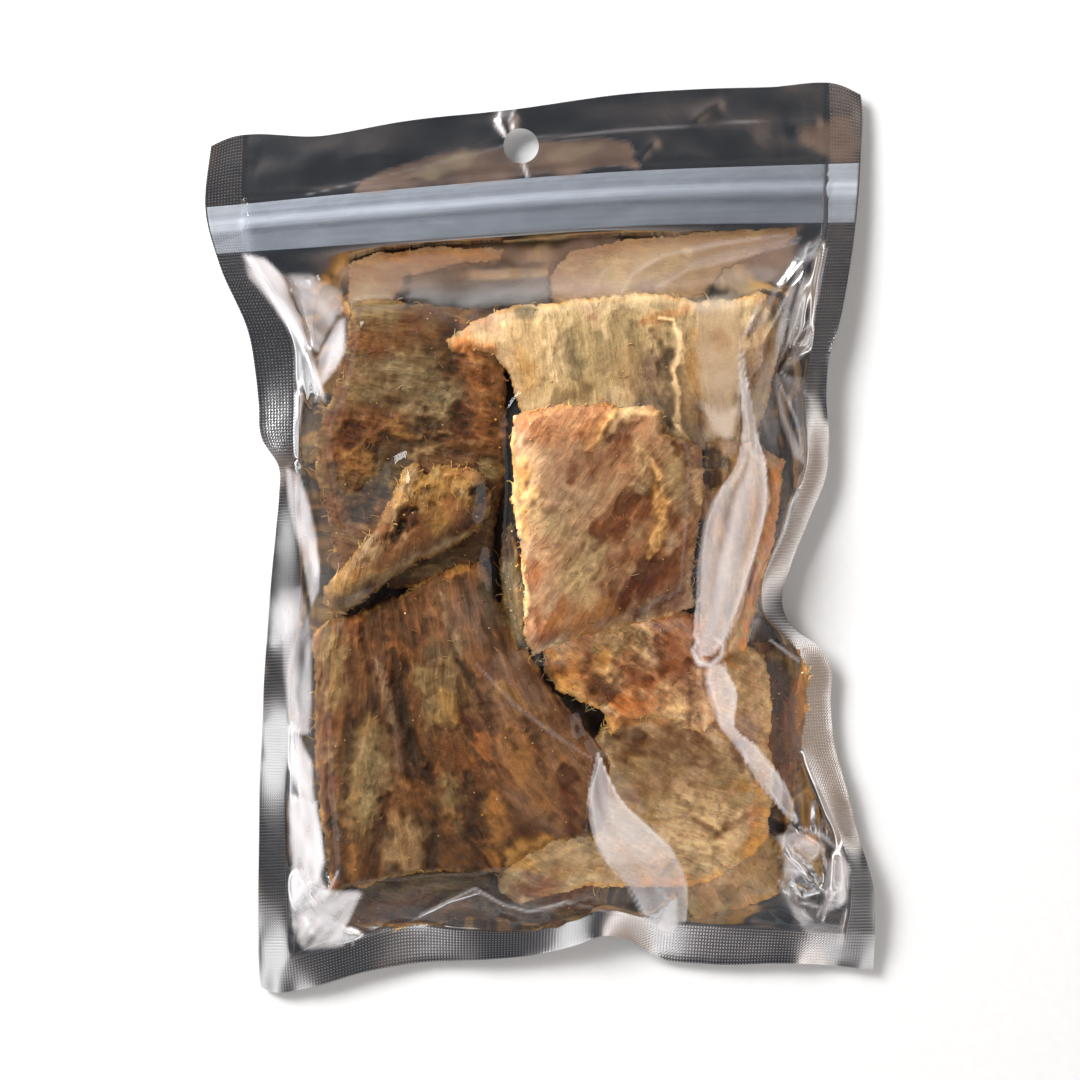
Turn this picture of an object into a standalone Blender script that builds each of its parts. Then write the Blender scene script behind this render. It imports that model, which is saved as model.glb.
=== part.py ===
"""A zip pouch with a clear front and a foil back, full of dried threadfin pieces, lying on its back.

Metres, +Z up. The header with its hang hole points to +Y and the clear front faces up. The origin is
under the middle of the pouch, on the surface that it lies on. Sizes below are in millimetres.
"""

import math

import bmesh
import bpy
import numpy as np

MM = 0.001

# The empty pouch, laid flat: u runs across it and v runs up it
FLAT_WIDTH = 150.0
FLAT_LENGTH = 200.0
SEAL = 8.5
ZIP_LOW = 170.5
ZIP_HIGH = 184.0
HOLE_RADIUS = 4.1
HOLE_AT = (-2.9, 91.6)
SHEET = 1.0

# The grid that both faces of the pouch are built on
BODY_COLUMNS = 40
BODY_ROWS = 48
HEADER_ROWS = 5
ZIP_ROWS = (170.5, 173.0, 175.2, 176.6, 177.6, 178.9, 180.2, 181.4, 182.6, 184.0)

# The zip: a flange with a ridge where its two halves lock, pressed flat in the side seals
FLANGE = 0.7
RIDGE = 1.3
RIDGE_AT = 178.2
RIDGE_HALF_WIDTH = 1.9
ZIP_GAP = 0.3

# How the clear front lies over the pieces
FILM_GAP = 0.4
CLING = 0.5
SHOULDER = 2.6
SLACK_SPREAD = 6

# Lines that run up the filled pouch, as (y, x, z): its two edges and its two side seals' inner lines
LEFT_EDGE = (
    (-104.0, -72.4, 2.2),
    (-96.7, -72.8, 2.4),
    (-83.0, -72.1, 3.4),
    (-72.0, -71.4, 5.6),
    (-62.0, -70.8, 6.0),
    (-53.6, -70.4, 5.2),
    (-42.0, -69.3, 5.0),
    (-29.0, -68.0, 5.4),
    (-13.8, -66.3, 6.6),
    (5.9, -63.5, 7.6),
    (13.4, -62.4, 7.8),
    (20.0, -62.2, 6.6),
    (26.5, -65.9, 4.8),
    (35.0, -66.4, 4.6),
    (42.0, -66.8, 5.2),
    (51.0, -67.9, 5.8),
    (66.9, -73.8, 5.6),
    (79.7, -76.6, 4.9),
    (94.5, -74.8, 4.2),
    (104.0, -73.0, 4.0),
)
LEFT_SEAL_LINE = (
    (-104.0, -65.0, 4.2),
    (-91.3, -65.4, 5.2),
    (-75.0, -65.0, 6.2),
    (-63.1, -64.7, 6.6),
    (-41.6, -63.0, 7.2),
    (-27.4, -62.2, 7.6),
    (-11.0, -58.6, 8.4),
    (13.2, -58.5, 8.6),
    (24.0, -58.4, 7.4),
    (38.1, -57.6, 6.6),
    (48.1, -57.8, 6.2),
    (57.1, -61.2, 6.0),
    (70.1, -68.0, 5.6),
    (84.0, -68.0, 5.0),
    (104.0, -66.5, 4.2),
)
RIGHT_SEAL_LINE = (
    (-104.0, 62.0, 3.4),
    (-94.5, 63.6, 4.6),
    (-87.7, 64.9, 5.6),
    (-74.1, 64.0, 7.2),
    (-62.6, 59.8, 7.8),
    (-50.9, 55.6, 7.4),
    (-41.0, 55.2, 7.2),
    (-29.4, 55.8, 8.0),
    (-18.3, 47.6, 8.6),
    (-13.2, 47.6, 8.8),
    (2.1, 54.8, 8.8),
    (14.6, 59.2, 8.6),
    (32.5, 59.8, 8.0),
    (41.6, 61.8, 7.8),
    (57.6, 64.1, 7.0),
    (69.2, 67.0, 6.2),
    (84.3, 68.3, 5.2),
    (104.0, 69.1, 4.2),
)
RIGHT_EDGE = (
    (-104.0, 69.9, 1.8),
    (-92.0, 70.6, 3.2),
    (-84.9, 70.6, 4.6),
    (-72.4, 67.8, 6.0),
    (-60.0, 65.3, 6.0),
    (-51.3, 63.3, 5.6),
    (-41.3, 62.7, 5.6),
    (-31.4, 62.7, 6.0),
    (-27.1, 60.1, 6.6),
    (-23.1, 54.9, 7.2),
    (-17.5, 52.3, 7.6),
    (-9.2, 54.5, 7.4),
    (1.6, 59.3, 6.8),
    (12.5, 64.1, 6.4),
    (19.9, 65.0, 6.2),
    (31.0, 64.8, 6.2),
    (39.6, 66.0, 6.6),
    (45.7, 68.2, 6.4),
    (60.2, 71.8, 5.8),
    (84.7, 75.6, 4.8),
    (98.2, 76.6, 4.0),
    (104.0, 76.0, 3.8),
)

# Lines that run across it, as (flat u, y, z): the bottom edge, the bottom seal's inner line, the zip's
# lower and upper lines and the top edge
BOTTOM_EDGE = (
    (0.0, -101.0, 2.2),
    (3.5, -102.0, 2.2),
    (11.0, -101.3, 2.6),
    (27.0, -97.8, 3.6),
    (40.0, -96.5, 3.2),
    (54.0, -96.4, 3.8),
    (70.0, -95.3, 4.4),
    (77.0, -93.6, 5.8),
    (83.0, -91.7, 7.2),
    (90.0, -93.4, 5.8),
    (96.0, -97.6, 3.6),
    (108.0, -99.9, 3.2),
    (130.0, -100.8, 2.8),
    (150.0, -103.3, 1.8),
)
BOTTOM_SEAL_LINE = (
    (8.5, -94.2, 5.0),
    (22.0, -91.0, 5.2),
    (36.0, -87.4, 5.4),
    (50.0, -89.2, 5.2),
    (70.0, -89.6, 6.0),
    (83.0, -85.6, 9.0),
    (96.0, -89.2, 6.0),
    (110.0, -91.1, 5.0),
    (130.0, -93.2, 4.8),
    (141.5, -94.4, 4.6),
)
ZIP_LOWER_LINE = (
    (0.0, 69.9, 0.0),
    (40.0, 70.6, 0.0),
    (100.0, 71.6, 0.0),
    (150.0, 70.1, 0.0),
)
ZIP_UPPER_LINE = (
    (0.0, 80.8, 0.0),
    (50.0, 83.1, 0.0),
    (90.0, 84.4, 0.0),
    (150.0, 84.0, 0.0),
)
TOP_EDGE = (
    (0.0, 95.0, 0.0),
    (2.5, 96.1, 0.0),
    (27.0, 96.3, 0.0),
    (45.0, 98.7, 0.0),
    (71.0, 100.3, 0.0),
    (95.0, 102.6, 0.0),
    (127.0, 102.7, 0.0),
    (147.0, 101.6, 0.0),
    (150.0, 100.0, 0.0),
)
HEADER_ARCH = 1.6

# Where the loaded back lies flat on the table
FOOT_MIDDLE = (-5.0, -8.0)
FOOT_HALF = (46.0, 71.0)
FOOT_SQUARENESS = 4.0
FOOT_SINK = 1.5

# The pieces that press the clear front out: the height of the top at the outline's middle, its rise for
# each millimetre in x and in y, and the outline
PIECES = {
    "bottom_left": (
        (11.5, 0.02, 0.03),
        ((-52, -76), (-50, -85), (-23, -86), (7, -88), (8, -70), (-20, -64)),
    ),
    "bottom_right": (
        (11.0, -0.02, 0.02),
        ((28, -87), (47, -84), (50, -74), (30, -66)),
    ),
    "corner_scrap": (
        (10.5, 0.0, 0.0),
        ((51, -72), (59, -74), (58, -81), (52, -82)),
    ),
    "right_side": (
        (12.5, -0.05, 0.0),
        ((40, -28), (53, -36), (54, -49), (52, -62), (40, -60)),
    ),
    "upper_left": (
        (18.0, 0.06, -0.02),
        ((-45, 57), (-47, 40), (-54, 27), (-53, 14), (-51, -6))
        + ((-36, -10), (-14, -4), (-10, 14), (-7, 37), (-22, 54)),
    ),
    "skin_piece": (
        (18.5, -0.03, -0.04),
        ((-21, 48), (-9, 54), (18, 55), (41, 53), (51, 56), (56, 52))
        + ((54, 41), (44, 20), (20, 24), (-2, 28), (-20, 44)),
    ),
    "ridged_piece": (
        (18.0, -0.14, 0.02),
        ((37, 21), (45, 22), (55, 16), (52, 0), (42, -27), (33, -28), (35, -6)),
    ),
    "lower_right": (
        (17.0, -0.06, 0.03),
        ((45, -28), (49, -34), (48, -56), (46, -71), (33, -80), (15, -81))
        + ((-10, -83), (-16, -77), (-10, -59), (9, -44), (30, -33)),
    ),
    "torn_piece": (
        (21.0, -0.05, 0.05),
        ((-4, -22), (-2, -30), (5, -37), (12, -46), (29, -44), (37, -43), (36, -27), (31, -18)),
    ),
    "long_strip": (
        (22.5, 0.08, 0.0),
        ((-54, -9), (-50, -15), (-43, -11), (-26, -1), (-14, 8), (-15, 17), (-33, 19), (-38, 9)),
    ),
    "big_piece": (
        (20.5, 0.07, 0.04),
        ((-57, -19), (-43, -14), (-27, -5), (-17, -3), (-3, -32), (11, -52))
        + ((7, -68), (-15, -77), (-56, -80), (-57, -42)),
    ),
    "centre_piece": (
        (25.5, -0.05, 0.02),
        ((-8, 30), (27, 29), (36, 20), (32, -15), (10, -21), (-6, -26), (-8, -13)),
    ),
}
MEMBRANE_STEPS = 1500
SMOOTHING_STEPS = 1

FOIL_COLOUR = (0.55, 0.42, 0.30, 1.0)
ZIP_COLOUR = (0.74, 0.78, 0.83, 1.0)


def through(stations, column, at):
    """A smooth line through the stations: their value in a column, at places along the first column."""
    places = np.array([station[0] for station in stations])
    values = np.array([station[column] for station in stations])
    slopes = np.gradient(values, places)
    at = np.clip(at, places[0], places[-1])
    before = np.clip(np.searchsorted(places, at, side="right") - 1, 0, len(places) - 2)
    span = places[before + 1] - places[before]
    share = (at - places[before]) / span
    rising = share * share * (3 - 2 * share)
    lift_before = share * (1 - share) ** 2 * span * slopes[before]
    lift_after = share * share * (share - 1) * span * slopes[before + 1]
    return values[before] * (1 - rising) + values[before + 1] * rising + lift_before + lift_after


def between(lines, places, at):
    """Values that run straight from line to line, where each line has its own place along at."""
    result = lines[0].copy()
    for low, high, low_at, high_at in zip(lines, lines[1:], places, places[1:]):
        share = np.clip((at - low_at) / (high_at - low_at), 0.0, 1.0)
        result = np.where(at >= low_at, low * (1 - share) + high * share, result)
    return result


def grid_lines():
    """The flat u and v of the pouch's grid lines."""
    inner = np.linspace(SEAL, FLAT_WIDTH - SEAL, BODY_COLUMNS + 1)
    across = np.concatenate([[0.0, SEAL / 2], inner, [FLAT_WIDTH - SEAL / 2, FLAT_WIDTH]])
    body = np.linspace(SEAL, ZIP_LOW, BODY_ROWS + 1)
    header = np.linspace(ZIP_HIGH, FLAT_LENGTH, HEADER_ROWS + 1)
    along = np.concatenate([[0.0, SEAL / 2], body, ZIP_ROWS[1:], header[1:]])
    return across, along


def place_flat(u, v):
    """Where each flat point of the pouch lies in plan once it is filled: x and y."""
    rows = (BOTTOM_EDGE, BOTTOM_SEAL_LINE, ZIP_LOWER_LINE, ZIP_UPPER_LINE, TOP_EDGE)
    y = between([through(row, 1, u) for row in rows], (0.0, SEAL, ZIP_LOW, ZIP_HIGH, FLAT_LENGTH), v)
    columns = (LEFT_EDGE, LEFT_SEAL_LINE, RIGHT_SEAL_LINE, RIGHT_EDGE)
    x = between([through(c, 1, y) for c in columns], (0.0, SEAL, FLAT_WIDTH - SEAL, FLAT_WIDTH), u)
    return x, y


def sheet_height(u, v, y):
    """The height of the pouch's middle layer in the seals, the zip and the header."""
    columns = (LEFT_EDGE, LEFT_SEAL_LINE, RIGHT_SEAL_LINE, RIGHT_EDGE)
    z = between([through(c, 2, y) for c in columns], (0.0, SEAL, FLAT_WIDTH - SEAL, FLAT_WIDTH), u)
    inside = np.clip((u - SEAL) / (FLAT_WIDTH - 2 * SEAL), 0.0, 1.0)
    arch = HEADER_ARCH * np.sin(math.pi * inside) * (v >= ZIP_LOW)
    fade = 1.0 - 0.6 * np.clip((v - ZIP_LOW) / (FLAT_LENGTH - ZIP_LOW), 0.0, 1.0)
    hem = between([through(BOTTOM_EDGE, 2, u), through(BOTTOM_SEAL_LINE, 2, u)], (0.0, SEAL), v)
    in_hem = (v <= SEAL) & (u >= SEAL) & (u <= FLAT_WIDTH - SEAL)
    return np.where(in_hem, hem, z + arch * fade)


def inside_depth(outline, x, y):
    """How far each point lies inside an outline, negative outside it."""
    inside = np.zeros(x.shape, bool)
    nearest = np.full(x.shape, np.inf)
    for (ax, ay), (bx, by) in zip(outline, outline[1:] + outline[:1]):
        dx, dy = bx - ax, by - ay
        share = np.clip(((x - ax) * dx + (y - ay) * dy) / (dx * dx + dy * dy), 0.0, 1.0)
        nearest = np.minimum(nearest, np.hypot(x - ax - share * dx, y - ay - share * dy))
        crosses = (ay > y) != (by > y)
        reach = ax + (y - ay) * dx / (dy if dy else 1.0)
        inside ^= crosses & (x < reach)
    return np.where(inside, nearest, -nearest)


def pile_height(x, y):
    """The top of the heap of pieces under each point, or 0 where there is none."""
    heap = np.zeros(x.shape)
    for (top, rise_x, rise_y), outline in PIECES.values():
        middle = np.mean(outline, axis=0)
        depth = inside_depth(outline, x, y)
        rounding = np.clip(depth / SHOULDER, 0.0, 1.0)
        plane = top + rise_x * (x - middle[0]) + rise_y * (y - middle[1])
        raised = (plane - SHOULDER * (1 - rounding) ** 2) * (depth > 0)
        heap = np.maximum(heap, raised)
    return heap


def neighbours_mean(z):
    """The mean of the four neighbours of every grid point."""
    return (np.roll(z, 1, 0) + np.roll(z, -1, 0) + np.roll(z, 1, 1) + np.roll(z, -1, 1)) / 4


def smoothed(z, where, steps):
    """A height field blurred a few steps, only at the points asked for."""
    z = z.copy()
    for _ in range(steps):
        z[where] = ((z + neighbours_mean(z)) / 2)[where]
    return z


def relaxed(z, free, floor=None):
    """A stretched skin: free points take the mean of their neighbours, but never go under the floor."""
    z = z.copy()
    for _ in range(MEMBRANE_STEPS):
        mean = neighbours_mean(z)
        z[free] = mean[free] if floor is None else np.maximum(mean, floor)[free]
    return z


def clear_front(sheet, body, heap):
    """The clear front, stretched over the heap and sagging a little where nothing holds it up."""
    resting = np.where(heap > 0, heap + FILM_GAP, 0.0)
    taut = relaxed(sheet, body, resting)
    slack = np.where(body, CLING * (taut - np.maximum(resting, sheet - SHEET)), 0.0)
    slack = smoothed(slack, body, SLACK_SPREAD)
    return smoothed(np.maximum(taut - slack, resting * body), body, SMOOTHING_STEPS)


def foil_back(sheet, body, x, y):
    """The foil back, flat on the table under the pieces and rising to the seals round them."""
    reach_x = np.abs((x - FOOT_MIDDLE[0]) / FOOT_HALF[0]) ** FOOT_SQUARENESS
    reach_y = np.abs((y - FOOT_MIDDLE[1]) / FOOT_HALF[1]) ** FOOT_SQUARENESS
    foot = reach_x + reach_y < 1
    under = np.where(foot, -FOOT_SINK, sheet - SHEET / 2)
    return np.maximum(relaxed(under, body & ~foot), 0.0)


def front_and_back(u, v, x, y):
    """The heights of the clear front and of the foil back over the whole grid."""
    sheet = sheet_height(u, v, y)
    body = (u > SEAL) & (u < FLAT_WIDTH - SEAL) & (v > SEAL) & (v < ZIP_LOW)
    front = clear_front(sheet, body, pile_height(x, y))
    back = foil_back(sheet, body, x, y)
    front = np.where(body, np.maximum(front, back + SHEET), sheet + SHEET / 2)
    return front, back


def new_object(name, bm, colour, roughness, metallic):
    """A named object from a bmesh given in millimetres, with its own material."""
    bmesh.ops.scale(bm, vec=(MM, MM, MM), verts=bm.verts)
    bmesh.ops.recalc_face_normals(bm, faces=bm.faces)
    mesh = bpy.data.meshes.new(name)
    bm.to_mesh(mesh)
    bm.free()
    mesh.shade_smooth()
    mesh.set_sharp_from_angle(angle=math.radians(35))
    material = bpy.data.materials.new(name)
    material.use_nodes = True
    shader = material.node_tree.nodes["Principled BSDF"]
    shader.inputs["Base Color"].default_value = colour
    shader.inputs["Roughness"].default_value = roughness
    shader.inputs["Metallic"].default_value = metallic
    mesh.materials.append(material)
    thing = bpy.data.objects.new(name, mesh)
    bpy.context.scene.collection.objects.link(thing)
    return thing


def closed_sheet(x, y, top, bottom):
    """A closed bmesh between two height fields on one grid, its sides standing on the grid's rim."""
    bm = bmesh.new()
    rows, columns = x.shape
    faces = []
    for heights in (top, bottom):
        points = [
            [bm.verts.new((x[j, i], y[j, i], heights[j, i])) for i in range(columns)] for j in range(rows)
        ]
        faces.append(points)
    upper, lower = faces
    for j in range(rows - 1):
        for i in range(columns - 1):
            bm.faces.new((upper[j][i], upper[j][i + 1], upper[j + 1][i + 1]))
            bm.faces.new((upper[j][i], upper[j + 1][i + 1], upper[j + 1][i]))
            bm.faces.new((lower[j][i], lower[j + 1][i + 1], lower[j][i + 1]))
            bm.faces.new((lower[j][i], lower[j + 1][i], lower[j + 1][i + 1]))
    rim = [(0, i) for i in range(columns)]
    rim += [(j, columns - 1) for j in range(1, rows)]
    rim += [(rows - 1, i) for i in range(columns - 2, -1, -1)]
    rim += [(j, 0) for j in range(rows - 2, 0, -1)]
    for (j, i), (n, m) in zip(rim, rim[1:] + rim[:1]):
        bm.faces.new((lower[j][i], lower[n][m], upper[n][m], upper[j][i]))
    return bm


def dissolve_foot(bm):
    """Joins the faces that lie flat on the table into one."""
    flat = [f for f in bm.faces if all(abs(v.co.z) < 1e-6 for v in f.verts)]
    bmesh.ops.dissolve_faces(bm, faces=flat, use_verts=False)


def cut_hang_hole(pouch, x, y):
    """Punches the round hang hole through the header, its middle at x and y."""
    bm = bmesh.new()
    bmesh.ops.create_cone(
        bm,
        cap_ends=True,
        segments=28,
        radius1=HOLE_RADIUS * MM,
        radius2=HOLE_RADIUS * MM,
        depth=40 * MM,
    )
    mesh = bpy.data.meshes.new("hang_hole_cutter")
    bm.to_mesh(mesh)
    bm.free()
    cutter = bpy.data.objects.new("hang_hole_cutter", mesh)
    bpy.context.scene.collection.objects.link(cutter)
    cutter.location = (x * MM, y * MM, 0)
    cutter.hide_render = True
    cutter.display_type = "WIRE"
    cut = pouch.modifiers.new("hang_hole", "BOOLEAN")
    cut.operation = "DIFFERENCE"
    cut.solver = "EXACT"
    cut.object = cutter


def make_pouch(x, y, front, back):
    """The sealed pouch with the pieces in it as one solid, its clear front drawn over them."""
    bm = closed_sheet(x, y, front, back)
    dissolve_foot(bm)
    return new_object("pouch", bm, FOIL_COLOUR, 0.35, 0.3)


def make_zip(u, v, x, y, front):
    """The press-to-close zip that lies across the pouch under the header."""
    rows = [j for j, place in enumerate(v[:, 0]) if ZIP_LOW <= place <= ZIP_HIGH]
    band = slice(rows[0], rows[-1] + 1)
    u, v, x, y, front = (values[band] for values in (u, v, x, y, front))
    rise = np.clip(1 - np.abs(v - RIDGE_AT) / RIDGE_HALF_WIDTH, 0.0, 1.0)
    pressed = (u > SEAL) & (u < FLAT_WIDTH - SEAL)
    under = front + ZIP_GAP
    over = under + FLANGE + RIDGE * np.minimum(1.0, 1.6 * rise) * pressed
    return new_object("zip_strip", closed_sheet(x, y, over, under), ZIP_COLOUR, 0.3, 0.0)


def main():
    for thing in list(bpy.data.objects):
        bpy.data.objects.remove(thing)
    across, along = grid_lines()
    u, v = np.meshgrid(across, along)
    x, y = place_flat(u, v)
    front, back = front_and_back(u, v, x, y)
    middle_x = (x.min() + x.max()) / 2
    middle_y = (y.min() + y.max()) / 2
    x -= middle_x
    y -= middle_y
    pouch = make_pouch(x, y, front, back)
    cut_hang_hole(pouch, HOLE_AT[0] - middle_x, HOLE_AT[1] - middle_y)
    make_zip(u, v, x, y, front)


main()
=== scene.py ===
"""A zip pouch of dried fish pieces: clear front film, foil back, press-to-close zip and what is in it.

Lengths are millimetres until a mesh is made. Marks on the fish are placed in the photograph's pixels, and
photo_to_mm puts them in the part's own frame.
"""

import math

import bmesh
import bpy
import numpy as np
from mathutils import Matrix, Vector
from mathutils.bvhtree import BVHTree

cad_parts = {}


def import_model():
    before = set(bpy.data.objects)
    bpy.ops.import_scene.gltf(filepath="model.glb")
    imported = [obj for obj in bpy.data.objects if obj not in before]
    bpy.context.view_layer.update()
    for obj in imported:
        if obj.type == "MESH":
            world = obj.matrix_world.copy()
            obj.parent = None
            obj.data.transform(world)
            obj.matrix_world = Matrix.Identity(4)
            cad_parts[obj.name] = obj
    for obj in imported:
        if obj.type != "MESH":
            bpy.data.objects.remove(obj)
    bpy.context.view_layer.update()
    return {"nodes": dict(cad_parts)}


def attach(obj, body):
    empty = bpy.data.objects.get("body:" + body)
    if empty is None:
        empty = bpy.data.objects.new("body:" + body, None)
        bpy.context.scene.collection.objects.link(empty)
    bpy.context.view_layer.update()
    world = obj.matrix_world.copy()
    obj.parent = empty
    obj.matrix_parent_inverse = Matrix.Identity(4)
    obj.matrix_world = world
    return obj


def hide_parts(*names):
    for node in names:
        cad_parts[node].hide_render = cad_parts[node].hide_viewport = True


MM = 0.001

# How the photograph was taken: straight down, turned a little, with MM_PER_PIXEL true at SHARP_HEIGHT
MM_PER_PIXEL = 0.23
MIDDLE_PIXEL = (552.3, 540.3)
TURN = math.radians(2.7)
LOOK_AT = (-2.82, 0.20)
SHARP_HEIGHT = 10.0
CAMERA_RISE = 600.0
PICTURE = 1080
SENSOR = 36.0

# The empty pouch laid flat: u runs across it, v up it. KNURL is the spacing of the dots in the seals, and
# HALF_SEAL how far film and foil lie from a seal's middle.
WIDE, LONG, SEAL = 150.0, 200.0, 8.5
ZIP_LOW, ZIP_HIGH, ZIP_RIDGE, ZIP_RIB = 170.5, 184.0, 178.2, 181.6
KNURL, HALF_SEAL = 0.72, 0.12
HOLE_AT, HOLE_RADIUS = (-2.9, 91.6), 4.1

# How many points across and up each sheet has, and how far apart they are on the fish
FILM_GRID, FOIL_GRID, ZIP_GRID = (260, 346), (230, 306), (240, 46)
FISH_STEP = 0.32

# How the filled pouch lies: the x of its side edges and side seals at each y, then the y of its bottom edge,
# bottom seal, zip and top edge at each u
LEFT_EDGE = (
    (-104.0, -72.4), (-96.7, -72.8), (-83.0, -72.1), (-72.0, -71.4), (-62.0, -70.8), (-53.6, -70.4),
    (-42.0, -69.3), (-29.0, -68.0), (-13.8, -66.3), (5.9, -63.5), (13.4, -62.4), (20.0, -62.2),
    (26.5, -65.9), (35.0, -66.4), (42.0, -66.8), (51.0, -67.9), (66.9, -73.8), (79.7, -76.6),
    (94.5, -74.8), (104.0, -73.0),
)
LEFT_SEAL_LINE = (
    (-104.0, -65.0), (-91.3, -65.4), (-75.0, -65.0), (-63.1, -64.7), (-41.6, -63.0), (-27.4, -62.2),
    (-11.0, -58.6), (13.2, -58.5), (24.0, -58.4), (38.1, -57.6), (48.1, -57.8), (57.1, -61.2),
    (70.1, -68.0), (84.0, -68.0), (104.0, -66.5),
)
RIGHT_SEAL_LINE = (
    (-104.0, 62.0), (-94.5, 63.6), (-87.7, 64.9), (-74.1, 64.0), (-62.6, 59.8), (-50.9, 55.6),
    (-41.0, 55.2), (-29.4, 55.8), (-18.3, 47.6), (-13.2, 47.6), (2.1, 54.8), (14.6, 59.2), (32.5, 59.8),
    (41.6, 61.8), (57.6, 64.1), (69.2, 67.0), (84.3, 68.3), (104.0, 69.1),
)
RIGHT_EDGE = (
    (-104.0, 69.9), (-92.0, 70.6), (-84.9, 70.6), (-72.4, 67.8), (-60.0, 65.3), (-51.3, 63.3),
    (-41.3, 62.7), (-31.4, 62.7), (-27.1, 60.1), (-23.1, 54.9), (-17.5, 52.3), (-9.2, 54.5), (1.6, 59.3),
    (12.5, 64.1), (19.9, 65.0), (31.0, 64.8), (39.6, 66.0), (45.7, 68.2), (60.2, 71.8), (84.7, 75.6),
    (98.2, 76.6), (104.0, 76.0),
)
BOTTOM_EDGE = (
    (0.0, -101.0), (3.5, -102.0), (11.0, -101.3), (27.0, -97.8), (40.0, -96.5), (54.0, -96.4),
    (70.0, -95.3), (77.0, -93.6), (83.0, -91.7), (90.0, -93.4), (96.0, -97.6), (108.0, -99.9),
    (130.0, -100.8), (150.0, -103.3),
)
BOTTOM_SEAL_LINE = (
    (8.5, -94.2), (22.0, -91.0), (36.0, -87.4), (50.0, -89.2), (70.0, -89.6), (83.0, -85.6),
    (96.0, -89.2), (110.0, -91.1), (130.0, -93.2), (141.5, -94.4),
)
ZIP_LOWER_LINE = ((0.0, 69.9), (40.0, 70.6), (100.0, 71.6), (150.0, 70.1))
ZIP_UPPER_LINE = ((0.0, 80.8), (50.0, 83.1), (90.0, 84.4), (150.0, 84.0))
TOP_EDGE = (
    (0.0, 95.0), (2.5, 96.1), (27.0, 96.3), (45.0, 98.7), (71.0, 100.3), (95.0, 102.6), (127.0, 102.7),
    (147.0, 101.6), (150.0, 100.0),
)

# Colours as they look in the photograph, 0 to 255
INKS = {
    "black_brown": (34, 22, 16),
    "dark_brown": (66, 38, 24),
    "plum": (78, 36, 32),
    "deep_red": (106, 52, 30),
    "rust": (142, 84, 44),
    "red_brown": (118, 70, 38),
    "brown": (120, 80, 44),
    "warm_brown": (150, 96, 52),
    "orange": (194, 124, 66),
    "amber": (192, 134, 70),
    "gold": (206, 156, 82),
    "tan": (178, 144, 100),
    "olive_tan": (164, 140, 94),
    "olive": (128, 108, 66),
    "grey_green": (112, 102, 76),
    "straw": (192, 170, 124),
    "flesh": (186, 138, 98),
    "pale": (212, 184, 136),
    "cream": (226, 202, 158),
    "pale_flesh": (214, 184, 146),
    "peach": (204, 154, 112),
    "pink_tan": (172, 136, 112),
    "grey_pink": (132, 106, 90),
    "smoke": (62, 58, 50),
}


# The most that a painted colour may reach in linear light
BRIGHTEST = 3.0


def ink(name):
    """A named colour in linear light."""
    return tuple((c / 255) ** 2.2 for c in INKS[name])


def blend(colour, name, share):
    """Mixes a named colour into an array of colours."""
    for k, value in enumerate(ink(name)):
        colour[..., k] += (value - colour[..., k]) * share


def photo_to_mm(points, height):
    """Places seen at the photograph's pixels, at a height above the table, in the part's frame."""
    result = []
    for px, py in points:
        right = (px - MIDDLE_PIXEL[0]) * MM_PER_PIXEL
        up = (MIDDLE_PIXEL[1] - py) * MM_PER_PIXEL
        x = right * math.cos(TURN) + up * math.sin(TURN)
        y = -right * math.sin(TURN) + up * math.cos(TURN)
        closer = 1 - (height - SHARP_HEIGHT) / CAMERA_RISE
        result.append((LOOK_AT[0] + (x - LOOK_AT[0]) * closer, LOOK_AT[1] + (y - LOOK_AT[1]) * closer))
    return result


def lattice(ix, iy, seed):
    """A repeatable number from 0 to 1 for each whole-number place."""
    n = (ix * 374761393 + iy * 668265263 + seed * 974634777) & 0xFFFFFFFF
    n = ((n ^ (n >> 13)) * 1274126177) & 0xFFFFFFFF
    return ((n ^ (n >> 16)) & 0xFFFF) / 65535.0


def noise(x, y, size, seed):
    """Smooth noise from -1 to 1 with bumps about size across."""
    px, py = x / size, y / size
    ix, iy = np.floor(px).astype(np.int64), np.floor(py).astype(np.int64)
    sx, sy = px - ix, py - iy
    sx, sy = sx * sx * (3 - 2 * sx), sy * sy * (3 - 2 * sy)
    low = lattice(ix, iy, seed) * (1 - sx) + lattice(ix + 1, iy, seed) * sx
    high = lattice(ix, iy + 1, seed) * (1 - sx) + lattice(ix + 1, iy + 1, seed) * sx
    return 2 * (low * (1 - sy) + high * sy) - 1


def rough(x, y, size, seed, octaves=4):
    """Noise with finer and finer noise added to it."""
    total = np.zeros(np.shape(x))
    for k in range(octaves):
        total += noise(x, y, size / 2**k, seed + 31 * k) / 2**k
    return total / 1.9


def ridged(x, y, size, seed, octaves=3):
    """Crumpled noise from 0 to 1, with sharp ridges."""
    total = np.zeros(np.shape(x))
    for k in range(octaves):
        total += (1 - np.abs(noise(x, y, size / 2**k, seed + 17 * k))) / 2**k
    return total / sum(1 / 2**k for k in range(octaves))


def smooth_step(low, high, value):
    """0 below low, 1 above high and a smooth rise between."""
    share = np.clip((value - low) / (high - low), 0.0, 1.0)
    return share * share * (3 - 2 * share)


def along(stations, at):
    """A smooth line through (place, value) stations, read at other places."""
    places = np.array([station[0] for station in stations])
    values = np.array([station[1] for station in stations])
    slopes = np.gradient(values, places)
    at = np.clip(at, places[0], places[-1])
    before = np.clip(np.searchsorted(places, at, side="right") - 1, 0, len(places) - 2)
    span = places[before + 1] - places[before]
    share = (at - places[before]) / span
    rising = share * share * (3 - 2 * share)
    lift_before = share * (1 - share) ** 2 * span * slopes[before]
    lift_after = share * share * (share - 1) * span * slopes[before + 1]
    return values[before] * (1 - rising) + values[before + 1] * rising + lift_before + lift_after


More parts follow.
